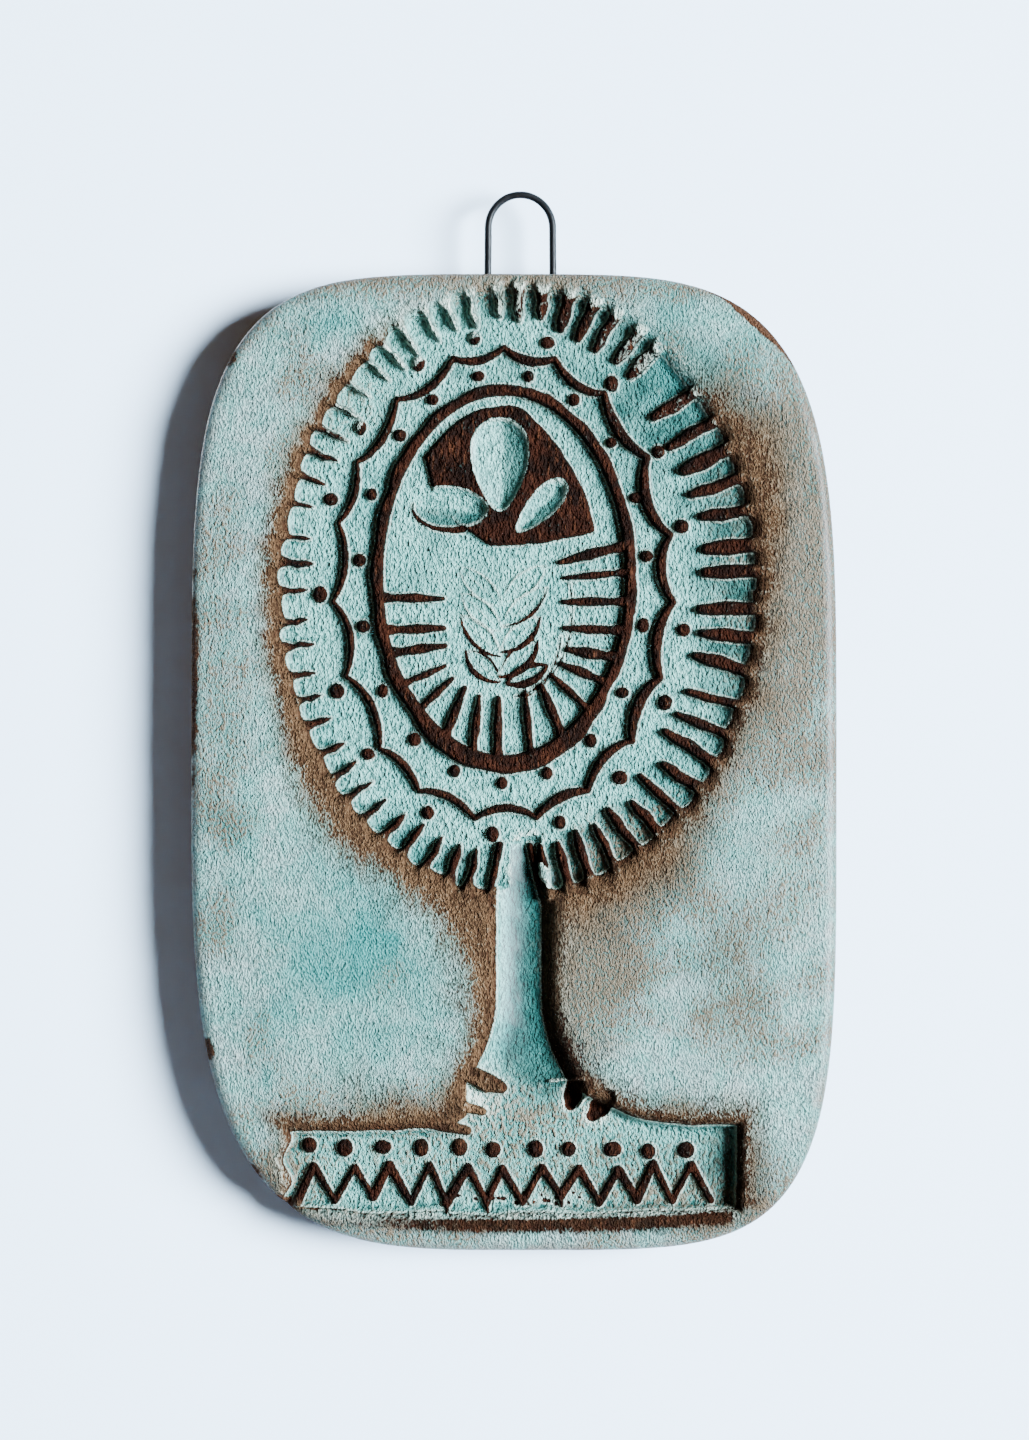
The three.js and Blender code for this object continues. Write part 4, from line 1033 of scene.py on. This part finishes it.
relief = plus(tree, relief, times(tree, brownShare, -0.35))
# brush marks in the thin sandy coat
brushed = times(tree, times(tree, blade["Height"], fields["sand"]), onGround)
relief = plus(tree, relief, times(tree, brushed, 1.6))
bump = put(tree, "ShaderNodeBump")
bump.inputs["Strength"].default_value = 1.0
bump.inputs["Distance"].default_value = 0.00034
feed(tree, bump.inputs["Height"], relief)
feed(tree, shader.inputs["Normal"], bump.outputs[0])
tileMesh.materials.append(glaze)

print("materials: wire and wall")
darkWire, tree, shader = newMaterial("darkWire")
cloudy = useGroup(tree, mottle, Size=0.25, Contrast=1.4, Warp=0.3)
grainy = useGroup(tree, clayGrain, Size=0.5, Coarse=0.5, Pits=0.2)
colour = blend(tree, cloudy["Smudge"], rgb(3, 3, 4), rgb(8, 8, 9))
colour = blend(tree, times(tree, grainy["Fleck"], 0.4), colour, rgb(52, 40, 32))
feed(tree, shader.inputs["Base Color"], colour)
shader.inputs["Specular IOR Level"].default_value = 0.14
feed(tree, shader.inputs["Roughness"], ease(tree, cloudy["Smudge"], 0.2, 0.8, 0.34, 0.6))
bump = put(tree, "ShaderNodeBump")
bump.inputs["Strength"].default_value = 0.4
bump.inputs["Distance"].default_value = 0.00004
feed(tree, bump.inputs["Height"], grainy["Height"])
feed(tree, shader.inputs["Normal"], bump.outputs[0])
wireMesh.materials.append(darkWire)



def paleCoat(name, first, second, rough):
    # a plain pale coat with a slow change between two near colours
    material, tree, shader = newMaterial(name)
    cloudy = useGroup(tree, mottle, Size=2.5, Contrast=0.8, Warp=0.2)
    feed(tree, shader.inputs["Base Color"], blend(tree, cloudy["Cloud"], first, second))
    shader.inputs["Roughness"].default_value = rough
    return material, tree, shader


paleWall, tree, shader = paleCoat("paleWall", rgb(216, 234, 252), rgb(222, 239, 254), 0.85)
shader.inputs["Specular IOR Level"].default_value = 0.2
# The wall is clear from behind, and to light on its way to the tile's back.
behind = put(tree, "ShaderNodeNewGeometry").outputs["Backfacing"]
passing = put(tree, "ShaderNodeLightPath").outputs["Is Shadow Ray"]
feed(tree, shader.inputs["Alpha"], minus(tree, 1.0, calc(tree, "MAXIMUM", behind, passing)))
paleFloor = paleCoat("paleFloor", rgb(226, 230, 234), rgb(236, 239, 242), 0.8)[0]


def sheetAt(name, corners, material):
    mesh = bpy.data.meshes.new(name)
    mesh.from_pydata(corners, [], [(0, 1, 2, 3)])
    mesh.materials.append(material)
    obj = bpy.data.objects.new(name, mesh)
    bpy.context.scene.collection.objects.link(obj)
    return obj


stage = {"wallGap": 0.0004, "half": 1.2, "high": 0.7, "floorZ": -1.1, "front": -1.2, "back": 0.6}
half, floorZ = stage["half"], stage["floorZ"]
wallY = tileHigh.y + stage["wallGap"]
sheetAt("backWall", [
    (-half, wallY, floorZ), (half, wallY, floorZ),
    (half, wallY, stage["high"]), (-half, wallY, stage["high"]),
], paleWall)
sheetAt("floor", [
    (-half, stage["front"], floorZ), (half, stage["front"], floorZ),
    (half, stage["back"], floorZ), (-half, stage["back"], floorZ),
], paleFloor)

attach(tile, "root")
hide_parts("tile_slab")
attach(wire, "root")
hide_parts("hanging_wire")

print("light and camera")
aim = (tileMid[0], tileLow.y, tileMid[1])


def softLight(name, place, size, power, colour, spread=math.pi):
    lamp = bpy.data.lights.new(name, "AREA")
    lamp.shape = "DISK"
    lamp.size = size
    lamp.energy = power
    lamp.color = colour
    lamp.spread = spread
    obj = bpy.data.objects.new(name, lamp)
    obj.location = place
    way = [a - p for a, p in zip(aim, place)]
    obj.rotation_euler = Vector(way).to_track_quat("-Z", "Y").to_euler()
    bpy.context.scene.collection.objects.link(obj)
    return obj


softLight("keyLight", (1.5, -1.06, -0.02), 1.0, 42.0, (0.74, 0.87, 1.0), math.radians(46))
softLight("fillLight", (-0.5, -1.6, 0.5), 0.8, 0.05, (1.0, 0.7, 0.45), math.radians(60))
softLight("backLight", (-0.7, 1.3, 0.4), 0.8, 34.0, (0.95, 0.96, 1.0))
world = bpy.data.worlds.new("paleSky")
world.use_nodes = True
# a dim warm surround gives light, and a pale one shows behind the tile
tree = world.node_tree
shown = put(tree, "ShaderNodeLightPath").outputs["Is Camera Ray"]
sky = tree.nodes["Background"]
feed(tree, sky.inputs["Color"], blend(tree, shown, (1.0, 0.6, 0.34, 1.0), (0.82, 0.88, 0.95, 1.0)))
feed(tree, sky.inputs["Strength"], ease(tree, shown, 0.0, 1.0, 0.06, 2.4))
bpy.context.scene.world = world

cameraSize = {"x": -0.00096, "z": -0.0852, "away": 0.56, "tall": 0.2333}
lens = bpy.data.cameras.new("frontView")
lens.sensor_width = 36
lens.lens = 18 * cameraSize["away"] / (cameraSize["tall"] / 2)
camera = bpy.data.objects.new("frontView", lens)
camera.location = (cameraSize["x"], tileLow.y - cameraSize["away"], cameraSize["z"])
camera.rotation_euler = (math.pi / 2, 0, 0)
bpy.context.scene.collection.objects.link(camera)
bpy.context.scene.camera = camera
